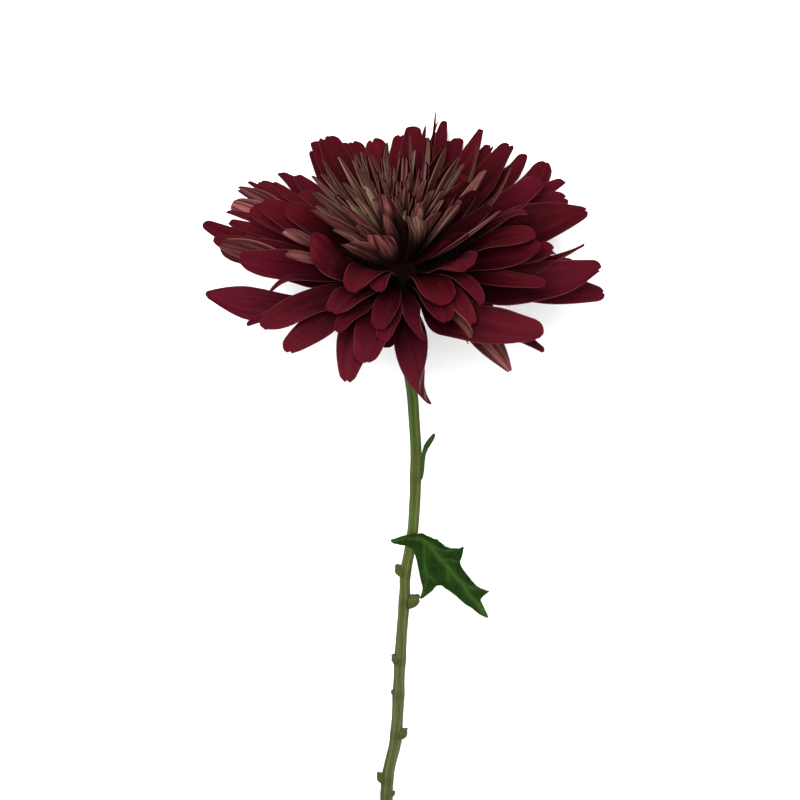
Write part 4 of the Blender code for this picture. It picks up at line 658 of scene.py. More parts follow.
def tip_reach(facts, v):
    """How far up the floret its outline ends, across it: a round tip, with or without a notch."""
    out = 1.0 - facts["round_tip"] * (1.0 - np.sqrt(np.clip(1.0 - np.abs(v) ** TIP_SQUARENESS, 0.0, 1.0)))
    return out - facts["notch"] * np.exp(-(((v - facts["notch_at"]) / NOTCH_WIDE) ** 2))


def unit_normals(points):
    """Unit normals of a grid of points."""
    normals = np.cross(np.gradient(points, axis=0), np.gradient(points, axis=1))
    return normals / np.maximum(np.linalg.norm(normals, axis=-1), 1e-12)[..., None]


def floret_grid(facts, grid):
    """A grid of points on a floret's middle surface, their normals, and their places u and v."""
    rows, columns = grid
    along = 1.0 - (1.0 - np.linspace(0.0, 1.0, rows)) ** ROW_CROWDING
    across = np.sin(np.linspace(-1.0, 1.0, columns) * COLUMN_CROWDING) / math.sin(COLUMN_CROWDING)
    u, v = np.meshgrid(along, across, indexing="ij")
    u = u * tip_reach(facts, v)
    points = floret_points(facts, u, v)
    points = points + floret_normals(facts, u, v) * (relief(facts, u, v) * MM)[..., None]
    return points, unit_normals(points), u, v


def shell(points, normals, u, v, thick):
    """A thin closed skin about a grid: its corners, its faces and each face's side, 0 face or 1 back."""
    rows, columns = u.shape
    across = MARGIN_THIN + (1.0 - MARGIN_THIN) * (1.0 - v * v)
    thickness = thick * across * (FOOT_THICK - TIP_THINS * u)
    half = 0.5 * thickness[..., None] * MM * normals
    corners = np.concatenate([(points + half).reshape(-1, 3), (points - half).reshape(-1, 3)])
    index = np.arange(rows * columns).reshape(rows, columns)
    a, b = index[:-1, :-1].ravel(), index[:-1, 1:].ravel()
    c, d = index[1:, 1:].ravel(), index[1:, :-1].ravel()
    top = np.stack([a, d, c, b], axis=1)
    under = np.stack([a, b, c, d], axis=1) + rows * columns
    loop = np.concatenate([index[:, 0], index[-1, 1:], index[-2::-1, -1], index[0, -2:0:-1]])
    after = np.roll(loop, -1)
    rim = np.stack([loop, loop + rows * columns, after + rows * columns, after], axis=1)
    side = np.concatenate([np.zeros(len(top)), np.ones(len(under)), np.zeros(len(rim))]).astype(np.int32)
    return corners, [np.concatenate([top, under, rim])], [side]


def mesh_piece(name, parts, materials):
    """One smooth object of many skins.

    Each part is its corners, its faces in arrays by how many corners they have, each face's material, and
    a (corner, 4) place colour.
    """
    corners = np.concatenate([part[0] for part in parts])
    starts = np.cumsum([0] + [len(part[0]) for part in parts[:-1]])
    blocks = [faces + start for part, start in zip(parts, starts) for faces in part[1]]
    slots = np.concatenate([slot for part in parts for slot in part[2]])
    places = np.concatenate([part[3] for part in parts])
    sizes = np.concatenate([np.full(len(block), block.shape[1]) for block in blocks])
    mesh = bpy.data.meshes.new(name)
    mesh.vertices.add(len(corners))
    mesh.vertices.foreach_set("co", corners.astype(np.float32).ravel())
    mesh.loops.add(int(sizes.sum()))
    loops = np.concatenate([block.ravel() for block in blocks])
    mesh.loops.foreach_set("vertex_index", loops.astype(np.int32))
    mesh.polygons.add(len(sizes))
    firsts = np.concatenate([[0], np.cumsum(sizes)[:-1]])
    mesh.polygons.foreach_set("loop_start", firsts.astype(np.int32))
    mesh.polygons.foreach_set("material_index", slots.astype(np.int32))
    mesh.update(calc_edges=True)
    mesh.validate()
    place = mesh.color_attributes.new("place", "FLOAT_COLOR", "POINT")
    place.data.foreach_set("color", places.astype(np.float32).ravel())
    mesh.shade_smooth()
    for material in materials:
        mesh.materials.append(material)
    piece = bpy.data.objects.new(name, mesh)
    bpy.context.scene.collection.objects.link(piece)
    return piece


def floret_part(facts, grid, thick):
    """A floret's skin. Its place colour holds how far along, stretched for painted shade, and across, its
    draw, and its age or buff.
    """
    points, normals, u, v = floret_grid(facts, grid)
    corners, faces, side = shell(points, normals, u, v, thick)
    tip = facts["tip"]
    rise_deg = math.degrees(math.atan2(tip[2], math.hypot(tip[0], tip[1])))
    age = 1.0 - float(smooth_step((rise_deg - AGE_RISE_DEG[0]) / (AGE_RISE_DEG[1] - AGE_RISE_DEG[0])))
    low, high = HEART_SHADED_DEG if facts["heart"] else SPREAD_SHADED_DEG
    most = HEART_SHADE if facts["heart"] else SPREAD_SHADE
    shaded = float(smooth_step((rise_deg - low) / (high - low)))
    # Painted shade: the length read is stretched on steeper florets, and shortened further on the heart's
    # faces, so the dark root reaches further up.
    along = np.clip(u, 0.0, 1.0) ** (1.0 + most * shaded)
    place = np.stack([along, 0.5 + 0.5 * v, np.full_like(u, facts["seed"])], axis=-1).reshape(-1, 3)
    inner = place * (HEART_FACE_SHADE if facts["heart"] else 1.0, 1.0, 1.0)
    ends = [
        np.column_stack([inner, np.full(len(place), age)]),
        np.column_stack([place, np.full(len(place), facts["buff"])]),
    ]
    return corners, faces, side, np.concatenate(ends)


def settle(piece, slot, *nodes):
    """The piece rides on the part's one body and stands for these nodes. The slot is not used."""
    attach(piece, "root")
    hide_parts(*nodes)


# The stem, in millimetres. Its ribs drift round it by these angles over these lengths. Its flattening, wobble
# and swellings are shares of its radius, each with the length over which it changes. Its bends are how far it
# strays to the right, by distance from the bloom. The rings of its cut end are how wide they are, as a share
# of its skin, and how far they sink.
STEM_RADIUS_TOP = 1.85
STEM_RADIUS_END = 2.15
STEM_START = 7.6
STEM_STEP = 1.0
STEM_SIDES = 44
STEM_RIBS = 6
STEM_RIB = 0.07
STEM_RIB_SHARE = 0.6
STEM_DRIFTS = ((0.25, 37.0), (0.12, 11.0))
STEM_FLAT = (0.02, 23.0)
STEM_WOBBLE = (0.012, 3.1)
STEM_SWELL = (0.09, 3.2)
STEM_CUT_RINGS = ((0.93, 0.0), (0.8, 0.15), (0.5, 0.25), (0.25, 0.2), (0.06, 0.15))
STEM_DIP = 0.25
STEM_SIGHT = 2.0
PATH_STEP = 1.0
BEND_BLUR = 7
NECK_BEND = (8.0, 34.0)
STEM_BENDS = (
    (0.0, 0.0), (27.0, 1.8), (41.0, 3.8), (62.0, 5.1), (79.0, 4.8), (92.0, 4.1), (99.0, 3.2),
    (106.0, 1.8), (111.0, 1.0), (118.0, 1.1), (134.0, -0.1), (146.0, -0.8), (167.0, -1.6),
    (179.0, -2.4), (185.0, -4.0), (192.0, -5.4), (200.0, -5.8), (235.0, -6.2), (262.0, -7.6),
)

# Stubs of the side shoots: distance from the bloom, degrees round the stem from its right, reach, width.
STUBS = (
    (109.2, 172.0, 1.9, 3.8),
    (121.0, 12.0, 3.3, 4.6),
    (144.6, 168.0, 1.0, 3.6),
    (158.5, 190.0, 0.7, 1.8),
    (174.8, 8.0, 1.9, 3.7),
    (193.6, 175.0, 1.8, 3.5),
    (200.0, 10.0, 1.0, 2.0),
    (222.0, 60.0, 2.0, 3.0),
)
STUB_SIDES = 22
STUB_LEAN = 0.3
STUB_GROOVE = 0.06
STUB_RAGGED = 0.14

# A stub's rings, from inside the stem to its torn end: how far out the first and the last ones are, how
# wide each is and how ragged, and the first ring of the torn end.
STUB_FOOT = 0.35
STUB_ENDS = (0.9, 1.0, 0.985, 0.94, 0.9)
STUB_SIZES = (1.3, 1.2, 1.1, 1.0, 0.84, 0.7, 0.42, 0.1)
STUB_TORN = (0.0, 0.0, 0.1, 0.5, 1.0, 0.8, 0.3, 0.0)
STUB_TORN_FROM = 4

# Leaves lie along the stem, from a place on its skin: millimetres to the right and towards the bloom.
LEAF_AT = 97.0
LEAF_THICK = 0.42
LEAF_GAP = 0.5
LEAF_DROOP = 7.0
LEAF_GRID = 0.62
LEAF_MARGIN = (0.35, 1.2)
LEAF_RIDGE = (0.22, 0.7)
CORNER_CUT = 0.22
ROW_STEP = 0.87
FAR_AWAY = 1e3

# How far from the midrib, veins and margin a leaf's colour is theirs.
MIDRIB_PALE = 0.8
VEIN_PALE = 0.55
MARGIN_SPAN = 4.0
LEAF_OUTLINE = (
    (-8.2, 1.5), (-4.6, 3.0), (0.2, 4.6), (3.6, 5.0), (8.8, 2.0), (12.8, -1.7), (17.0, -3.3),
    (19.2, -1.8), (18.7, -5.5), (17.3, -9.1), (22.6, -17.5), (26.5, -21.2), (29.3, -21.6),
    (25.0, -24.2), (26.4, -26.8), (28.9, -32.5), (24.8, -30.1), (17.2, -22.8), (11.4, -16.7),
    (9.3, -16.3), (7.2, -19.0), (2.7, -22.4), (4.3, -17.8), (3.2, -13.3), (1.8, -6.0), (0.6, -1.6),
    (-1.4, -0.7), (-5.8, -0.1),
)
LEAF_MIDRIB = ((2.2, 3.1), (5.4, 0.7), (10.2, -6.1), (16.0, -13.7), (21.8, -22.7), (27.8, -31.0))
LEAF_VEINS = (
    ((4.4, 1.6), (4.6, -6.7), (5.8, -13.5), (3.6, -20.5)),
    ((6.6, -1.0), (12.2, -3.2), (18.4, -2.6)),
    ((16.2, -14.3), (21.6, -19.2), (28.3, -21.5)),
    ((3.6, 2.3), (-2.0, 2.3), (-7.2, 1.4)),
    ((10.6, -6.8), (14.4, -7.3), (17.0, -8.2)),
    ((5.0, -10.5), (8.7, -15.2)),
    ((12.8, -9.8), (13.4, -15.2)),
)
BRACT_AT = 72.0
BRACT_THICK = 0.4
BRACT_GRID = 0.4
BRACT_FOLD = 0.7
BRACT_RAISED = 1.4
BRACT_OUTLINE = (
    (2.0, -1.0), (2.0, 3.0), (2.0, 7.0), (2.1, 10.6), (2.8, 13.4), (4.6, 15.8), (5.9, 17.3),
    (6.7, 17.2), (6.4, 15.4), (4.7, 12.6), (3.5, 9.8), (3.1, 7.0), (3.0, 3.4), (2.5, 0.0),
)
BRACT_MIDRIB = ((2.2, -0.6), (2.5, 5.0), (2.9, 10.4), (4.6, 14.4), (6.3, 16.8))

# The leaves' relief in millimetres: each height with how far it reaches, or how fast it waves by x and y.
MIDRIB_GROOVE = (0.4, 0.8)
VEIN_GROOVE = (0.22, 0.6)
LEAF_WAVES = ((0.35, 0.55, -0.4), (0.16, 1.3, 1.1))
LEAF_RUFFLE = (0.3, 1.5, -1.9)
RUFFLE_REACH = 1.6
LEAF_FOLD = (0.9, 3.0)
LEAF_CLASP = (1.3, 1.1)
LEAF_BEND_AT = 3.0
LEAF_BEND_SPAN = 32.0
LEAF_LIFT = 0.4
BRACT_WAVE = (0.12, 1.1)

# The calyx and the core, in millimetres of radius and rise along the bloom's axis.
CALYX_PROFILE = (
    (2.2, -7.4), (3.2, -7.0), (5.0, -6.3), (6.9, -5.0), (8.2, -3.7), (9.1, -2.4), (9.2, -1.3),
    (8.4, -0.7), (4.0, -0.5),
)
CALYX_SCALES = 11
SCALE_THICK = 0.3
SCALE_GRID = (16, 11)
CALYX_SIDES = 60
CALYX_BUMPS = 0.05
SCALE_ROWS = (
    ((2.8, -7.0), (6.6, -4.9), 3.0),
    ((3.6, -6.7), (8.5, -3.2), 4.0),
    ((5.4, -5.6), (10.0, -1.4), 4.4),
    ((6.8, -4.4), (10.8, -0.3), 4.6),
)
CORE_PROFILE = (
    (6.5, -0.4), (9.2, 0.6), (9.6, 2.4), (9.6, 7.0), (8.8, 9.0), (7.4, 11.0), (5.0, 12.8), (2.0, 13.6),
)
CORE_SIDES = 96
CORE_BUMPS = 0.35


def stem_path():
    """Distances from the bloom's centre and places along the stem, down to where it meets the table."""
    place = Vector(BLOOM_CENTRE)
    distances, places = [0.0], [place.copy()]
    while place.z / MM > STEM_RADIUS_END * math.cos(math.radians(STEM_SLOPE_DEG)) - STEM_DIP:
        done = smooth_step((distances[-1] - NECK_BEND[0]) / (NECK_BEND[1] - NECK_BEND[0]))
        lean = BLOOM_LEAN_DEG + (STEM_SLOPE_DEG - BLOOM_LEAN_DEG) * float(done)
        place = place - rotation_axes(lean)[2] * PATH_STEP * MM
        distances.append(distances[-1] + PATH_STEP)
        places.append(place.copy())
    strays = np.interp(distances, *zip(*STEM_BENDS))
    blur = np.ones(BEND_BLUR) / BEND_BLUR
    smooth = np.convolve(np.pad(strays, BEND_BLUR // 2, mode="edge"), blur, mode="valid")
    for spot, stray in zip(places, smooth):
        spot.x += stray * MM
    return np.array(distances), np.array(places)


def stem_frame(path, distance):
    """A place on the stem's centreline, and its right, its way to the bloom and its upper side."""
    distances, places = path
    here, ahead, after = (
        np.array([np.interp(spot, distances, places[:, k]) for k in range(3)])
        for spot in (distance, distance - STEM_SIGHT, distance + STEM_SIGHT)
    )
    to_bloom = Vector(ahead - after).normalized()
    upper = Vector((1.0, 0.0, 0.0)).cross(to_bloom).normalized()
    right = to_bloom.cross(upper)
    return Vector(here), right, to_bloom, upper


def stem_radius(path, distance):
    """The stem's radius there, in millimetres."""
    share = distance / path[0][-1]
    return STEM_RADIUS_TOP + (STEM_RADIUS_END - STEM_RADIUS_TOP) * share


def ring_part(rings, places, slots):
    """A closed skin of rings of points, with a flat face at either end. Slots are its bands' materials."""
    count, sides = rings.shape[:2]
    index = np.arange(count * sides).reshape(count, sides)
    after = np.roll(index, -1, axis=1)
    quads = np.stack([index[:-1], after[:-1], after[1:], index[1:]], axis=-1).reshape(-1, 4)
    ends = np.stack([index[0, ::-1], index[-1]])
    quad_slots = np.repeat(np.asarray(slots[:count - 1], dtype=np.int32), sides)
    end_slots = np.array((slots[0], slots[-1]), dtype=np.int32)
    return rings.reshape(-1, 3), [quads, ends], [quad_slots, end_slots], places.reshape(-1, 4)


def near_nodes(distance):
    """How much the stem swells near its stubs and leaves, 0 to 1."""
    nodes = [facts[0] for facts in STUBS] + [LEAF_AT, BRACT_AT]
    return max(math.exp(-(((distance - node) / STEM_SWELL[1]) ** 2)) for node in nodes)


def columns_of(*values):
    """Columns of an array, from numbers or rows of numbers."""
    return np.stack(np.broadcast_arrays(*values), axis=-1)


def stem_part(path):
    """The stem's skin: rounded ribs that wander, swollen nodes, and a cut end with a pale pith."""
    rng = random.Random(SEED)
    end = path[0][-1]
    count = int((end - STEM_START) / STEM_STEP)
    angles = 2.0 * np.pi * np.arange(STEM_SIDES) / STEM_SIDES
    starts = [rng.uniform(*WAVE_START) for _ in range(3)]
    rings, places = [], []
    for i in range(count + 1):
        distance = STEM_START + (end - STEM_START) * i / count
        centre, right, _, upper = stem_frame(path, distance)
        drift = sum(
            size * math.sin(distance / span + start) for (size, span), start in zip(STEM_DRIFTS, starts)
        )
        rib = np.cos(STEM_RIBS * (angles + drift))
        swell = near_nodes(distance)
        flat = STEM_FLAT[0] * np.cos(2.0 * angles + distance / STEM_FLAT[1] + starts[2])
        wobble = STEM_WOBBLE[0] * np.sin(distance / STEM_WOBBLE[1] + 2.0 * angles)
        relief_share = STEM_RIB * STEM_RIB_SHARE * rib + flat + wobble + STEM_SWELL[0] * swell
        radius = stem_radius(path, distance) * (1.0 + relief_share)
        rings.append([
            centre + (right * math.cos(turn) + upper * math.sin(turn)) * size * MM
            for turn, size in zip(angles, radius)
        ])
        places.append(columns_of(i / count, angles / (2.0 * np.pi), 0.5 + 0.5 * rib, swell))
    rim = np.array(rings[count])
    centre = rim.mean(axis=0)
    for share, sink in STEM_CUT_RINGS:
        rings.append(centre + (rim - centre) * share + np.array(stem_frame(path, end)[2]) * sink * MM)
        places.append(columns_of(share, angles / (2.0 * np.pi), rib, 1.0))
    slots = [0] * count + [1] * (len(STEM_CUT_RINGS) + 1)
    return ring_part(np.array(rings), np.array(places), slots)


def stub_part(path, distance, round_deg, reach, width):
    """What is left of a side shoot: it flares from the stem, leans to the bloom and ends torn."""
    rng = random.Random(int(distance * 10))
    centre, right, to_bloom, upper = stem_frame(path, distance)
    angle = math.radians(round_deg)
    out = right * math.cos(angle) + upper * math.sin(angle)
    across = to_bloom.cross(out)
    body = stem_radius(path, distance)
    total = body + reach
    turns = 2.0 * np.pi * np.arange(STUB_SIDES) / STUB_SIDES
    torn = np.array([rng.uniform(-1.0, 1.0) for _ in range(STUB_SIDES)])
    torn = (torn + np.roll(torn, 1)) * 0.5
    at_skin = body / total
    shares = (STUB_FOOT, at_skin, 0.5 + 0.5 * at_skin, *STUB_ENDS)
    rings = []
    for share, size, raggedness in zip(shares, STUB_SIZES, STUB_TORN):
        ring = []
        for turn, step in zip(turns, torn * STUB_RAGGED * reach * raggedness):
            away = total * share + step
            spot = centre + out * away * MM + to_bloom * STUB_LEAN * total * share * share * MM
            grooved = 0.5 * width * size * (1.0 + STUB_GROOVE * math.cos(5.0 * turn))
            ring.append(spot + (to_bloom * math.cos(turn) + across * math.sin(turn)) * grooved * MM)
        rings.append(ring)
    place = columns_of(distance / path[0][-1], turns / (2.0 * np.pi), 0.5, 1.0)
    slots = [0] * STUB_TORN_FROM + [1] * (len(rings) - STUB_TORN_FROM)
    return ring_part(np.array(rings), np.array([place] * len(rings)), slots)


def rounded(outline, times):
    """A closed outline with its corners cut off, again and again."""
    points = np.array(outline)
    for _ in range(times):
        ahead = np.roll(points, -1, axis=0)
        pairs = [points + (ahead - points) * CORNER_CUT, ahead + (points - ahead) * CORNER_CUT]
        points = np.stack(pairs, axis=1).reshape(-1, 2)
    return points


def closed(outline):
    """An outline with its first point again at its end."""
    return np.concatenate([outline, outline[:1]])


def distance_to(points, *lines):
    """How far flat points are from the nearest of some lines, each through some places."""
    best = np.full(len(points), FAR_AWAY)
    for line in lines:
        for a, b in zip(line[:-1], line[1:]):
            a, b = np.array(a), np.array(b)
            share = np.clip(((points - a) @ (b - a)) / ((b - a) @ (b - a)), 0.0, 1.0)
            best = np.minimum(best, np.linalg.norm(points - a - share[:, None] * (b - a), axis=1))
    return best


def leaf_part(outline, grid, thick, midrib, veins, place):
    """A leaf's thin closed skin. Its place colour holds how near its midrib, veins and margin it is."""
    edge = rounded(outline, 2)
    low, high = edge.min(axis=0), edge.max(axis=0)
    rng = random.Random(SEED)
    inside = [Vector(point) for point in edge]
    for i in range(int((high[0] - low[0]) / grid) + 1):
        for j in range(int((high[1] - low[1]) / (ROW_STEP * grid)) + 1):
            right = low[0] + (i + 0.5 * (j % 2) + rng.uniform(-0.1, 0.1)) * grid
            spot = (right, low[1] + j * ROW_STEP * grid)
            if distance_to(np.array([spot]), closed(edge))[0] > 0.45 * grid:
                inside.append(Vector(spot))
    rim = [(i, (i + 1) % len(edge)) for i in range(len(edge))]
    flat, _, triangles, _, _, _ = geometry.delaunay_2d_cdt(inside, rim, [tuple(range(len(edge)))], 1, 1e-6)
    flat = np.array([tuple(point) for point in flat])
    triangles = np.array([tuple(triangle) for triangle in triangles])
    to_edge = distance_to(flat, closed(edge))
    to_midrib = distance_to(flat, midrib)
    points, normals = place(flat)
    half = 0.5 * thick * (LEAF_MARGIN[0] + (1.0 - LEAF_MARGIN[0]) * smooth_step(to_edge / LEAF_MARGIN[1]))
    half = half + LEAF_RIDGE[0] * np.exp(-((to_midrib / LEAF_RIDGE[1]) ** 2))
    lift = normals * half[:, None] * MM
    count = len(flat)
    open_edges = {}
    for triangle in triangles:
        for k in range(3):
            a, b = int(triangle[k]), int(triangle[(k + 1) % 3])
            if open_edges.pop((b, a), None) is None:
                open_edges[(a, b)] = True
    sides = np.array([(b, a, count + a, count + b) for a, b in open_edges])
    corners = np.concatenate([points + lift, points - lift])
    near_midrib = np.exp(-((to_midrib / MIDRIB_PALE) ** 2))
    near_veins = np.exp(-((distance_to(flat, *veins) / VEIN_PALE) ** 2))
    from_edge = np.clip(to_edge / MARGIN_SPAN, 0.0, 1.0)
    colours = [columns_of(near_midrib, near_veins, from_edge, under) for under in (0.0, 1.0)]
    faces = [triangles, triangles[:, ::-1] + count, sides]
    slots = [np.full(len(block), slot, np.int32) for block, slot in zip(faces, (0, 1, 0))]
    return corners, faces, slots, np.concatenate(colours)


def sloped(flat, height_of, stand):
    """World points and unit normals of a height over flat places. Stand is their centre and three axes."""
    nudge = 0.15
    by_x = (height_of(flat + (nudge, 0.0)) - height_of(flat - (nudge, 0.0))) / (2.0 * nudge)
    by_y = (height_of(flat + (0.0, nudge)) - height_of(flat - (0.0, nudge))) / (2.0 * nudge)
    normals = np.column_stack([-by_x, -by_y, np.ones(len(flat))])
    normals /= np.linalg.norm(normals, axis=1)[:, None]
    axes = np.array(stand[1:])
    return np.array(stand[0]) + np.column_stack([flat, height_of(flat)]) @ axes * MM, normals @ axes


def leaf_axes(path, distance):
    """Where a leaf is fixed, with the photo's right, the stem's own slope and its upper side."""
    _, back, along = rotation_axes(STEM_SLOPE_DEG)
    return stem_frame(path, distance)[0], Vector((1.0, 0.0, 0.0)), along, -back


def place_leaf(path):
    """How the lobed leaf's flat places stand in the world: it clasps the stem, folds, waves and droops."""
    clear = stem_radius(path, LEAF_AT) * (1.0 + STEM_RIB) + LEAF_GAP + 0.5 * LEAF_THICK
    margin = closed(rounded(LEAF_OUTLINE, 2))
    lines = [(LEAF_MIDRIB, *MIDRIB_GROOVE)] + [(vein, *VEIN_GROOVE) for vein in LEAF_VEINS]

    def height_of(flat):
        x, y = flat[:, 0], flat[:, 1]
        droop = LEAF_DROOP * smooth_step((x - LEAF_BEND_AT) / LEAF_BEND_SPAN)
        from_fold = np.abs(0.72 * (x - 5.0) + 0.69 * (y - 1.0))
        fold = np.where(x > LEAF_BEND_AT, LEAF_FOLD[0] * np.exp(-((from_fold / LEAF_FOLD[1]) ** 2)), 0.0)
        wave = sum(size * np.sin(by_x * x + by_y * y) for size, by_x, by_y in LEAF_WAVES)
        to_edge = distance_to(flat, margin)
        size, by_x, by_y = LEAF_RUFFLE
        ruffle = size * np.exp(-to_edge / RUFFLE_REACH) * np.sin(by_x * x + by_y * y)
        grooves = [deep * np.exp(-((distance_to(flat, line) / wide) ** 2)) for line, deep, wide in lines]
        clasp = smooth_step((y - 1.0) / 2.0) * smooth_step((x + 3.0) / 3.0) * smooth_step((12.0 - x) / 4.0)
        clasp = clasp * np.exp(-to_edge / LEAF_CLASP[1]) * LEAF_CLASP[0]
        return clear + LEAF_LIFT + wave - droop - fold + ruffle - np.max(grooves, axis=0) + clasp

    return lambda flat: sloped(flat, height_of, leaf_axes(path, LEAF_AT))


def place_bract(path):
    """How the small narrow leaf's flat places stand in the world, folded along its midrib."""
    def height_of(flat):
        folded = BRACT_FOLD * np.minimum(distance_to(flat, BRACT_MIDRIB), 1.4)
        return BRACT_RAISED + folded + BRACT_WAVE[0] * np.sin(BRACT_WAVE[1] * flat[:, 1])

    return lambda flat: sloped(flat, height_of, stem_frame(path, BRACT_AT))


def turned_part(profile, columns, bump):
    """A profile turned about the bloom's axis, with small bumps, closed at either end."""
    profile = np.array(profile)
    steps = np.linspace(0.0, len(profile) - 1.0, 4 * len(profile))
    radius, rise = (np.interp(steps, np.arange(len(profile)), profile[:, k]) for k in range(2))
    angles = 2.0 * np.pi * np.arange(columns) / columns
    rings, places = [], []
    for i, (r, z) in enumerate(zip(radius, rise)):
        rough = bump * np.sin(11.0 * angles + 2.3 * i) * np.sin(7.0 * angles - 1.7 * i)
        out = r + rough
        rings.append(bloom_to_world(columns_of(out * np.cos(angles), out * np.sin(angles), z)))
        places.append(columns_of(i / (len(radius) - 1.0), angles / (2.0 * np.pi), 0.5, 0.5 + rough))
    return ring_part(np.array(rings), np.array(places), [0] * len(rings))


def scale_part(turn, foot, tip, width, seed):
    """A thin scale of the calyx, which hugs the cup and ends in a blunt point."""
    rng = random.Random(seed)
    rows, columns = SCALE_GRID
    u, v = np.meshgrid(np.linspace(0.0, 1.0, rows), np.linspace(-1.0, 1.0, columns), indexing="ij")
    broad = np.sin(np.pi * (0.22 + 0.5 * u)) * np.sqrt(np.clip(1.0 - u**5, 0.0, 1.0))
    broad = np.maximum(broad, 0.05)
    across = 0.5 * width * broad * v * rng.uniform(0.92, 1.08)
    reach = 1.0 + rng.uniform(-0.06, 0.04)
    arch = 0.9 * np.sin(np.pi * u) + 0.3 * u * u * rng.uniform(0.3, 1.0)
    radius = foot[0] + (tip[0] - foot[0]) * u * reach + arch - 0.1 * across**2 / max(foot[0], 4.0)
    radius = radius + 0.12 * np.exp(-((v / 0.16) ** 2)) * (1.0 - u)
    height = foot[1] + (tip[1] - foot[1]) * u * reach
    angle = turn + across / np.maximum(radius, 1.0)
    points = bloom_to_world(columns_of(radius * np.cos(angle), radius * np.sin(angle), height))
    corners, faces, side = shell(points, unit_normals(points), u, v, SCALE_THICK)
    place = columns_of(u, 0.5 + 0.5 * v, rng.random(), 1.0).reshape(-1, 4)
    return corners, faces, [side[0] * 0], np.concatenate([place, place])


def make_calyx(material):
    """The green cup under the bloom, with four rows of scales that overlap."""
    parts = [turned_part(CALYX_PROFILE, CALYX_SIDES, CALYX_BUMPS)]
    for row, (foot, tip, width) in enumerate(SCALE_ROWS):
        for i in range(CALYX_SCALES):
            turn = 2.0 * math.pi * (i + 0.5 * (row % 2)) / CALYX_SCALES
            parts.append(scale_part(turn, foot, tip, width, 100 * row + i))
    settle(mesh_piece("calyx_scales", parts, (material,)), CALYX_SLOT, "calyx")


def make_core(material):
    """The bed inside the bloom, dark with painted shade."""
    core = turned_part(CORE_PROFILE, CORE_SIDES, CORE_BUMPS)
    settle(mesh_piece("bloom_core", [core], (material,)), PETAL_SLOT, "ray_florets")


def make_green(stem, torn, leaf, leaf_back):
    """The stem with its stubs, and its two leaves."""
    path = stem_path()
    parts = [stem_part(path)] + [stub_part(path, *facts) for facts in STUBS]
    settle(mesh_piece("stem_and_stubs", parts, (stem, torn)), STEM_SLOT, "stem")
    blade = leaf_part(LEAF_OUTLINE, LEAF_GRID, LEAF_THICK, LEAF_MIDRIB, LEAF_VEINS, place_leaf(path))
    settle(mesh_piece("lobed_leaf", [blade], (leaf, leaf_back)), LEAF_SLOT, "leaf")
    small = leaf_part(BRACT_OUTLINE, BRACT_GRID, BRACT_THICK, BRACT_MIDRIB, (), place_bract(path))
    settle(mesh_piece("narrow_leaf", [small], (leaf, leaf_back)), LEAF_SLOT, "bract_leaf")


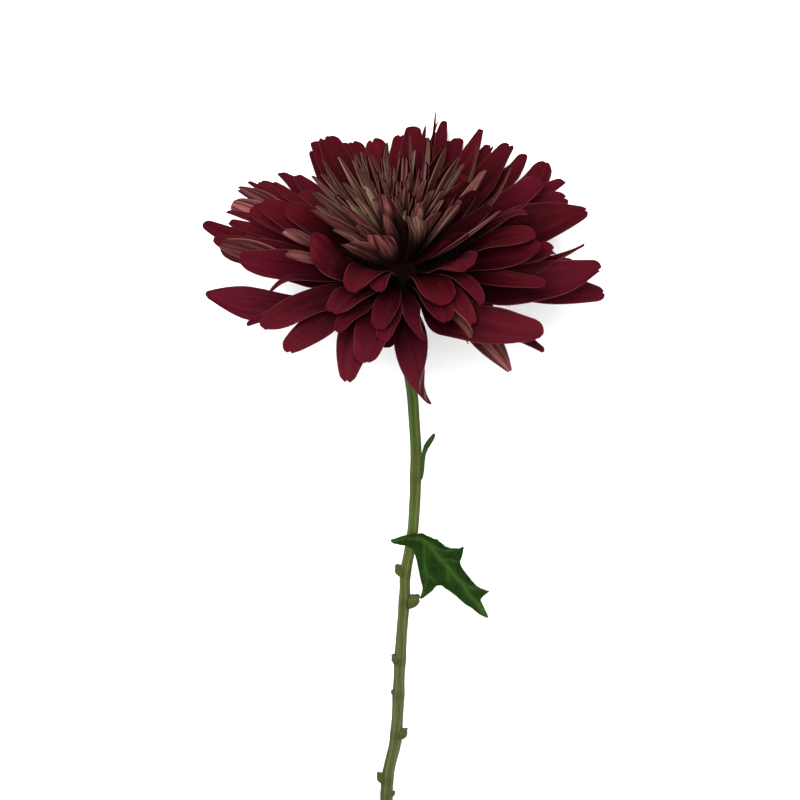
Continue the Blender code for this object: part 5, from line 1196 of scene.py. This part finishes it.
class Tree:
    """A material's nodes, with a method for each kind that the materials here are made of."""

    def __init__(self, name):
        self.material = bpy.data.materials.new(name)
        self.material.use_nodes = True
        self.nodes = self.material.node_tree.nodes
        self.links = self.material.node_tree.links
        self.shader = self.nodes["Principled BSDF"]

    def add(self, kind, **settings):
        """A new node of this kind."""
        node = self.nodes.new("ShaderNode" + kind)
        for key, value in settings.items():
            setattr(node, key, value)
        return node

    def put(self, value, socket):
        """Links a socket to another, or sets it to a number or colour."""
        if isinstance(value, bpy.types.NodeSocket):
            self.links.new(value, socket)
        else:
            socket.default_value = value

    def place(self):
        """The four values of the place colour, each from 0 to 1."""
        attribute = self.add("Attribute", attribute_name="place")
        parts = self.add("SeparateColor")
        self.put(attribute.outputs["Color"], parts.inputs["Color"])
        return [parts.outputs[0], parts.outputs[1], parts.outputs[2], attribute.outputs["Alpha"]]

    def math(self, operation, a, b=0.0, c=0.0):
        """What an operation makes of up to three values."""
        node = self.add("Math", operation=operation)
        for value, socket in zip((a, b, c), node.inputs):
            self.put(value, socket)
        return node.outputs[0]

    def times(self, value, number):
        """The value, so many times."""
        return self.math("MULTIPLY", value, number)

    def draw_again(self, draw, spread):
        """Another draw from a floret's own, 0 to 1."""
        return self.math("FRACT", self.times(draw, spread))

    def from_middle(self, across):
        """How far from the middle line a place across is, 0 to 1."""
        return self.math("ABSOLUTE", self.math("MULTIPLY_ADD", across, 2.0, -1.0))

    def ease(self, value, low, high, to_low=0.0, to_high=1.0):
        """The value eased from one span to another."""
        node = self.add("MapRange", interpolation_type="SMOOTHSTEP")
        for given, socket in zip((value, low, high, to_low, to_high), node.inputs):
            self.put(given, socket)
        return node.outputs[0]

    def vector(self, x, y, z):
        """A vector of three values."""
        node = self.add("CombineXYZ")
        for value, socket in zip((x, y, z), node.inputs):
            self.put(value, socket)
        return node.outputs[0]

    def streaks(self, across, times_across, along, times_along, shift, detail=3.0, rough=0.55, scale=1.0):
        """Noise drawn out along a surface, so often across and along it."""
        place = self.vector(self.times(across, times_across), self.times(along, times_along), shift)
        return self.noise(place, scale, detail, rough)

    def noise(self, vector, scale, detail=3.0, rough=0.55):
        """Noise from 0 to 1 at a place."""
        node = self.add("TexNoise")
        self.put(vector, node.inputs["Vector"])
        node.inputs["Scale"].default_value = scale
        node.inputs["Detail"].default_value = detail
        node.inputs["Roughness"].default_value = rough
        return node.outputs["Fac"]

    def mix(self, share, a, b):
        """A colour between two, by the share of the second."""
        node = self.add("Mix", data_type="RGBA")
        self.put(share, node.inputs[0])
        self.put(a, node.inputs[6])
        self.put(b, node.inputs[7])
        return node.outputs[2]

    def layers(self, colour, *layers):
        """Colours laid over one another, each as its value eases from low to high, so strongly at most."""
        for value, low, high, most, paint in layers:
            colour = self.mix(self.ease(value, low, high, 0.0, most), colour, rgb(*paint))
        return colour

    def bump(self, height, distance, strength=1.0):
        """A fine relief of this height, in metres."""
        node = self.add("Bump")
        self.put(height, node.inputs["Height"])
        node.inputs["Distance"].default_value = distance
        node.inputs["Strength"].default_value = strength
        return node.outputs["Normal"]

    def finish(self, colour, roughness, normal, **constants):
        """The material, with these on its shader's sockets."""
        self.put(colour, self.shader.inputs["Base Color"])
        self.put(roughness, self.shader.inputs["Roughness"])
        self.put(normal, self.shader.inputs["Normal"])
        for key, value in constants.items():
            self.shader.inputs[key.replace("_", " ")].default_value = value
        return self.material


# The studio is this much brighter than the colours are given for, so that the pale floor reads as white.
BRIGHTER = 1.8


def rgb(red, green, blue):
    """A node's colour from what the eye is to read, 0 to 255: darker by as much as the studio is bright."""
    parts = [value / 255.0 for value in (red, green, blue)]
    linear = [part / 12.92 if part <= 0.04045 else ((part + 0.055) / 1.055) ** 2.4 for part in parts]
    return (*(part / BRIGHTER for part in linear), 1.0)


def floret_streaks(tree, along, across, draw):
    """Two sizes of streaks that run up a floret and draw together at its root, and broad blotches, which the
    face also paints pale as highlights.
    """
    shift = tree.times(draw, 91.0)
    broad = tree.streaks(across, 9.0, along, 1.6, shift)
    fine = tree.streaks(across, 34.0, along, 2.4, shift, 4.0, 0.65)
    return broad, fine, tree.streaks(across, 2.0, along, 3.0, shift)


def petal_face_material():
    """Velvety burgundy, paler and pinker on the old outer florets, darker at the root and streaked.

    The darker root is painted shade and the lighter tip painted light. Pale blotches are partly tone that
    varies, partly painted highlight, and the pale margins partly their own colour, partly painted highlight.
    """
    tree = Tree("petal_face")
    along, across, draw, age = tree.place()
    broad, fine, blotch = floret_streaks(tree, along, across, draw)
    light = tree.math("MULTIPLY_ADD", tree.ease(broad, 0.35, 0.65), 0.4, tree.times(draw, 0.6))
    young = tree.mix(light, rgb(36, 3, 5), rgb(76, 8, 13))
    old = tree.mix(light, rgb(70, 13, 23), rgb(98, 29, 42))
    hue = tree.times(tree.ease(tree.draw_again(draw, 13.7), 0.35, 1.0), 0.4)
    colour = tree.mix(hue, tree.mix(age, young, old), rgb(78, 13, 34))
    colour = tree.layers(
        colour,
        (fine, 0.45, 0.7, 0.55, (38, 3, 5)),
        # Painted light towards the tip, and painted shade towards the root where the floret passes under
        # others.
        (along, 0.6, 1.0, 0.4, (98, 22, 37)),
        (along, 0.92, 0.22, 0.95, (18, 1, 3)),
        # Pale blotches: partly tone that varies, partly painted highlight.
        (blotch, 0.55, 0.8, 0.3, (116, 28, 42)),
    )
    # Pale margins: partly their own paler colour, partly a painted highlight.
    rim = tree.times(tree.ease(tree.from_middle(across), 0.94, 1.0, 0.0, 0.4), tree.ease(along, 0.2, 0.6))
    colour = tree.mix(rim, colour, rgb(138, 72, 72))
    height = tree.math("MULTIPLY_ADD", fine, 0.4, broad)
    rough = tree.ease(fine, 0.3, 0.8, 0.6, 0.78)
    return tree.finish(
        colour, rough, tree.bump(height, 0.0005, 0.9),
        Sheen_Weight=0.008, Sheen_Roughness=0.45, Sheen_Tint=rgb(210, 80, 110), Specular_IOR_Level=0.015,
    )


def petal_back_material():
    """The reverse: dusky pink, more buff on the heart's florets, with thin wine-red streaks.

    Its rolled sides and its root are darker with painted shade.
    """
    tree = Tree("petal_back")
    along, across, draw, buff = tree.place()
    broad, fine, blotch = floret_streaks(tree, along, across, draw)
    from_middle = tree.from_middle(across)
    pink = tree.mix(tree.ease(broad, 0.35, 0.7), rgb(72, 24, 30), rgb(174, 108, 103))
    tan = tree.mix(tree.ease(broad, 0.35, 0.7), rgb(92, 66, 51), rgb(222, 198, 164))
    colour = tree.layers(
        tree.mix(buff, pink, tan),
        (fine, 0.48, 0.64, 0.75, (52, 12, 15)),
        (tree.draw_again(draw, 7.3), 0.25, 1.0, 0.6, (58, 22, 22)),
    )
    # Painted shade: the rolled sides turn away into the shade between the quills and are painted darker.
    sides = tree.times(tree.ease(from_middle, 0.15, 0.75), tree.math("MULTIPLY_ADD", buff, 0.25, 0.65))
    colour = tree.layers(
        tree.mix(sides, colour, rgb(42, 8, 12)),
        (from_middle, 0.88, 0.98, 0.5, (146, 104, 90)),
        (blotch, 0.5, 0.75, 0.3, (84, 32, 34)),
        # Painted shade: darker towards the root, deep among the other florets.
        (along, 0.8, 0.15, 0.96, (16, 4, 4)),
    )
    height = tree.math("MULTIPLY_ADD", fine, 0.5, broad)
    rough = tree.ease(fine, 0.3, 0.8, 0.6, 0.76)
    return tree.finish(
        colour, rough, tree.bump(height, 0.0003, 0.8),
        Sheen_Weight=0.01, Sheen_Roughness=0.5, Sheen_Tint=rgb(220, 160, 150), Specular_IOR_Level=0.02,
    )


def core_material():
    """The spongy bed that the florets grow from, painted near-black as the shade deep in the bloom."""
    tree = Tree("core")
    along, across = tree.place()[:2]
    grain = tree.streaks(across, 60.0, along, 14.0, 0.0)
    # Painted shade: the bed is painted near-black because it lies deep in the bloom.
    colour = tree.mix(tree.ease(grain, 0.35, 0.7), rgb(10, 3, 3), rgb(22, 7, 6))
    rough = tree.ease(grain, 0.3, 0.7, 0.6, 0.8)
    return tree.finish(colour, rough, tree.bump(grain, 0.0006, 0.9), Specular_IOR_Level=0.01)


def calyx_material():
    """Dull green scales with a paler ridge and thin brown papery margins."""
    tree = Tree("calyx_skin")
    along, across, draw, scale = tree.place()
    lines = tree.streaks(across, 26.0, along, 3.0, tree.times(draw, 50.0))
    from_middle = tree.from_middle(across)
    colour = tree.mix(tree.ease(lines, 0.35, 0.7), rgb(64, 84, 36), rgb(98, 114, 62))
    colour = tree.layers(colour, (from_middle, 0.25, 0.0, 0.4, (120, 132, 82)))
    papery = tree.math("MAXIMUM", tree.ease(from_middle, 0.7, 0.95), tree.ease(along, 0.86, 0.98))
    papery = tree.times(papery, tree.ease(scale, 0.9, 1.0, 0.0, 0.85))
    colour = tree.mix(papery, colour, rgb(116, 88, 60))
    colour = tree.layers(colour, (along, 0.2, 0.0, 0.5, (50, 62, 28)))
    rough = tree.ease(lines, 0.3, 0.8, 0.5, 0.68)
    return tree.finish(colour, rough, tree.bump(lines, 0.0003, 0.8), Specular_IOR_Level=0.06)


def stem_material():
    """Green above, olive and greyer below, with long fibres, small pale specks and browner nodes.

    Its ribs are paler with a painted highlight.
    """
    tree = Tree("stem_skin")
    along, around, rib, swell = tree.place()
    place = tree.add("NewGeometry").outputs["Position"]
    turn = tree.times(around, 2.0 * math.pi)
    ring_x, ring_y = tree.math("COSINE", turn), tree.math("SINE", turn)
    fibres = tree.streaks(ring_x, 4.2, ring_y, 4.2, tree.times(along, 9.0), 4.0, 0.65, 2.6)
    patches = tree.streaks(ring_x, 4.2, ring_y, 4.2, tree.times(along, 40.0), scale=0.4)
    specks = tree.noise(place, 1500.0, 2.0)
    colour = tree.layers(
        tree.mix(tree.ease(along, 0.2, 0.8), rgb(80, 100, 32), rgb(92, 98, 58)),
        (fibres, 0.4, 0.62, 0.7, (50, 62, 22)),
        # Painted highlight along each rib.
        (rib, 0.6, 1.0, 0.45, (116, 130, 74)),
        (patches, 0.5, 0.7, 0.4, (70, 64, 34)),
        (specks, 0.62, 0.72, 0.5, (118, 124, 76)),
        (swell, 0.45, 1.0, 0.45, (74, 70, 32)),
    )
    height = tree.math("MULTIPLY_ADD", specks, 0.25, fibres)
    rough = tree.ease(fibres, 0.3, 0.8, 0.42, 0.62)
    return tree.finish(colour, rough, tree.bump(height, 0.0004, 0.8), Specular_IOR_Level=0.06)


def torn_material():
    """Broken ends: pale dry pith with brown fibres."""
    tree = Tree("torn_end")
    place = tree.add("NewGeometry").outputs["Position"]
    pith = tree.noise(place, 2600.0, 4.0, 0.7)
    broad = tree.noise(place, 700.0)
    colour = tree.mix(tree.ease(pith, 0.35, 0.65), rgb(96, 88, 48), rgb(146, 142, 96))
    colour = tree.layers(colour, (broad, 0.42, 0.62, 0.8, (66, 58, 26)))
    rough = tree.ease(pith, 0.3, 0.8, 0.65, 0.9)
    return tree.finish(colour, rough, tree.bump(pith, 0.0006, 1.0), Specular_IOR_Level=0.05)


def leaf_material(name, dark, light, vein, roughness):
    """A leaf's skin: mottled, with a net of veins between the raised ones, and a paler thin margin."""
    tree = Tree(name)
    midrib, veins, to_edge = tree.place()[:3]
    place = tree.add("NewGeometry").outputs["Position"]
    mottle = tree.noise(place, 260.0, 3.0)
    grain = tree.noise(place, 2400.0, 3.0, 0.6)
    net = tree.add("TexVoronoi", feature="DISTANCE_TO_EDGE")
    tree.put(place, net.inputs["Vector"])
    net.inputs["Scale"].default_value = 900.0
    between = tree.ease(net.outputs["Distance"], 0.0, 0.16)
    colour = tree.mix(tree.ease(mottle, 0.35, 0.68), dark, light)
    colour = tree.mix(tree.math("MULTIPLY_ADD", between, -0.14, 0.14), colour, vein)
    colour = tree.mix(tree.times(veins, 0.55), colour, vein)
    colour = tree.mix(tree.times(midrib, 0.8), colour, vein)
    colour = tree.mix(tree.ease(to_edge, 0.09, 0.0, 0.0, 0.5), colour, vein)
    height = tree.math("MULTIPLY_ADD", grain, 0.35, between)
    rough = tree.ease(grain, 0.3, 0.8, roughness, roughness + 0.16)
    return tree.finish(colour, rough, tree.bump(height, 0.00025, 0.8), Specular_IOR_Level=0.04)


def make_bloom(face, back):
    """All florets, in pieces of a few dozen each."""
    spread, heart = all_florets()
    add_details(spread)
    add_details(heart)
    kinds = (
        ("ray_florets", PETAL_SLOT, spread, SPREAD_GRID, SPREAD_THICK),
        ("heart_florets", BACK_SLOT, heart, HEART_GRID, HEART_THICK),
    )
    for node, slot, florets, grid, thick in kinds:
        for start in range(0, len(florets), FLORETS_PER_PIECE):
            parts = [floret_part(facts, grid, thick) for facts in florets[start:start + FLORETS_PER_PIECE]]
            name = f"{node}_{start // FLORETS_PER_PIECE + 1}"
            settle(mesh_piece(name, parts, (face, back)), slot, node)


def make_camera():
    """Looks at the bloom as the photo does, from above its open side."""
    right, back, along = rotation_axes(BLOOM_LEAN_DEG)
    rise = math.radians(VIEW_RISE_DEG)
    toward = along * math.sin(rise) - back * math.cos(rise)
    up = along * math.cos(rise) + back * math.sin(rise)
    camera = bpy.data.cameras.new("camera")
    camera.sensor_width = SENSOR_WIDTH
    camera.lens = camera.sensor_width / PHOTO_WIDTH * VIEW_DISTANCE
    eye = bpy.data.objects.new("camera", camera)
    aim = BLOOM_CENTRE + up * VIEW_AIM_UP * MM - right * VIEW_AIM_LEFT * MM
    turned = Matrix((right, up, toward)).transposed().to_4x4()
    eye.matrix_world = Matrix.Translation(aim + toward * VIEW_DISTANCE) @ turned
    bpy.context.scene.collection.objects.link(eye)
    bpy.context.scene.camera = eye
    return right, up, toward


# The studio, in metres and watts. Each lamp is so far towards the viewer, up and right of the bloom, and
# has this size and power.
FLOOR_REACH = 3.0
LAMPS = (("key", (1.1, 0.25, -0.2), 0.8, 17.0), ("fill", (1.0, -0.5, 0.6), 1.2, 6.5))
SKY_LIGHT = 0.23


def area_light(name, place, aim, size, power):
    """A round soft lamp that shines on a place."""
    light = bpy.data.lights.new(name, "AREA")
    light.shape = "DISK"
    light.size = size
    light.energy = power
    lamp = bpy.data.objects.new(name, light)
    turned = (place - aim).to_track_quat("Z", "Y").to_matrix().to_4x4()
    lamp.matrix_world = Matrix.Translation(place) @ turned
    bpy.context.scene.collection.objects.link(lamp)


def make_studio(right, up, toward):
    """A pale floor, a broad key light above the bloom and a weak fill."""
    floor_mesh = bpy.data.meshes.new("floor")
    ends = ((-1.0, -1.0), (1.0, -1.0), (1.0, 1.0), (-1.0, 1.0))
    floor_mesh.from_pydata([(x * FLOOR_REACH, y * FLOOR_REACH, 0.0) for x, y in ends], [], [(0, 1, 2, 3)])
    floor = bpy.data.objects.new("floor", floor_mesh)
    bpy.context.scene.collection.objects.link(floor)
    tree = Tree("floor")
    spots = tree.noise(tree.add("NewGeometry").outputs["Position"], 30.0)
    colour = tree.mix(tree.ease(spots, 0.3, 0.7), (0.93, 0.93, 0.93, 1.0), (0.95, 0.95, 0.95, 1.0))
    tree.put(colour, tree.shader.inputs["Base Color"])
    tree.shader.inputs["Roughness"].default_value = 0.9
    tree.shader.inputs["Specular IOR Level"].default_value = 0.1
    floor_mesh.materials.append(tree.material)
    for name, (nearer, higher, aside), size, power in LAMPS:
        place = BLOOM_CENTRE + toward * nearer + up * higher + right * aside
        area_light(name, place, BLOOM_CENTRE, size, power * BRIGHTER)
    world = bpy.data.worlds.new("studio")
    bpy.context.scene.world = world
    world.use_nodes = True
    sky = world.node_tree.nodes["Background"]
    sky.inputs["Color"].default_value = (1.0, 1.0, 1.0, 1.0)
    sky.inputs["Strength"].default_value = SKY_LIGHT * BRIGHTER
    bpy.context.scene.view_settings.view_transform = "Standard"


def box_list(box):
    """A box as plain lists."""
    return [list(corner) for corner in box]


def main():
    """Makes the camera and the studio, then the flower."""
    make_studio(*make_camera())
    make_bloom(petal_face_material(), petal_back_material())
    make_core(core_material())
    make_calyx(calyx_material())
    leaf = leaf_material("leaf_upper", rgb(17, 42, 5), rgb(29, 60, 9), rgb(66, 92, 38), 0.45)
    leaf_back = leaf_material("leaf_under", rgb(66, 84, 44), rgb(82, 102, 58), rgb(108, 124, 78), 0.6)
    make_green(stem_material(), torn_material(), leaf, leaf_back)


main()
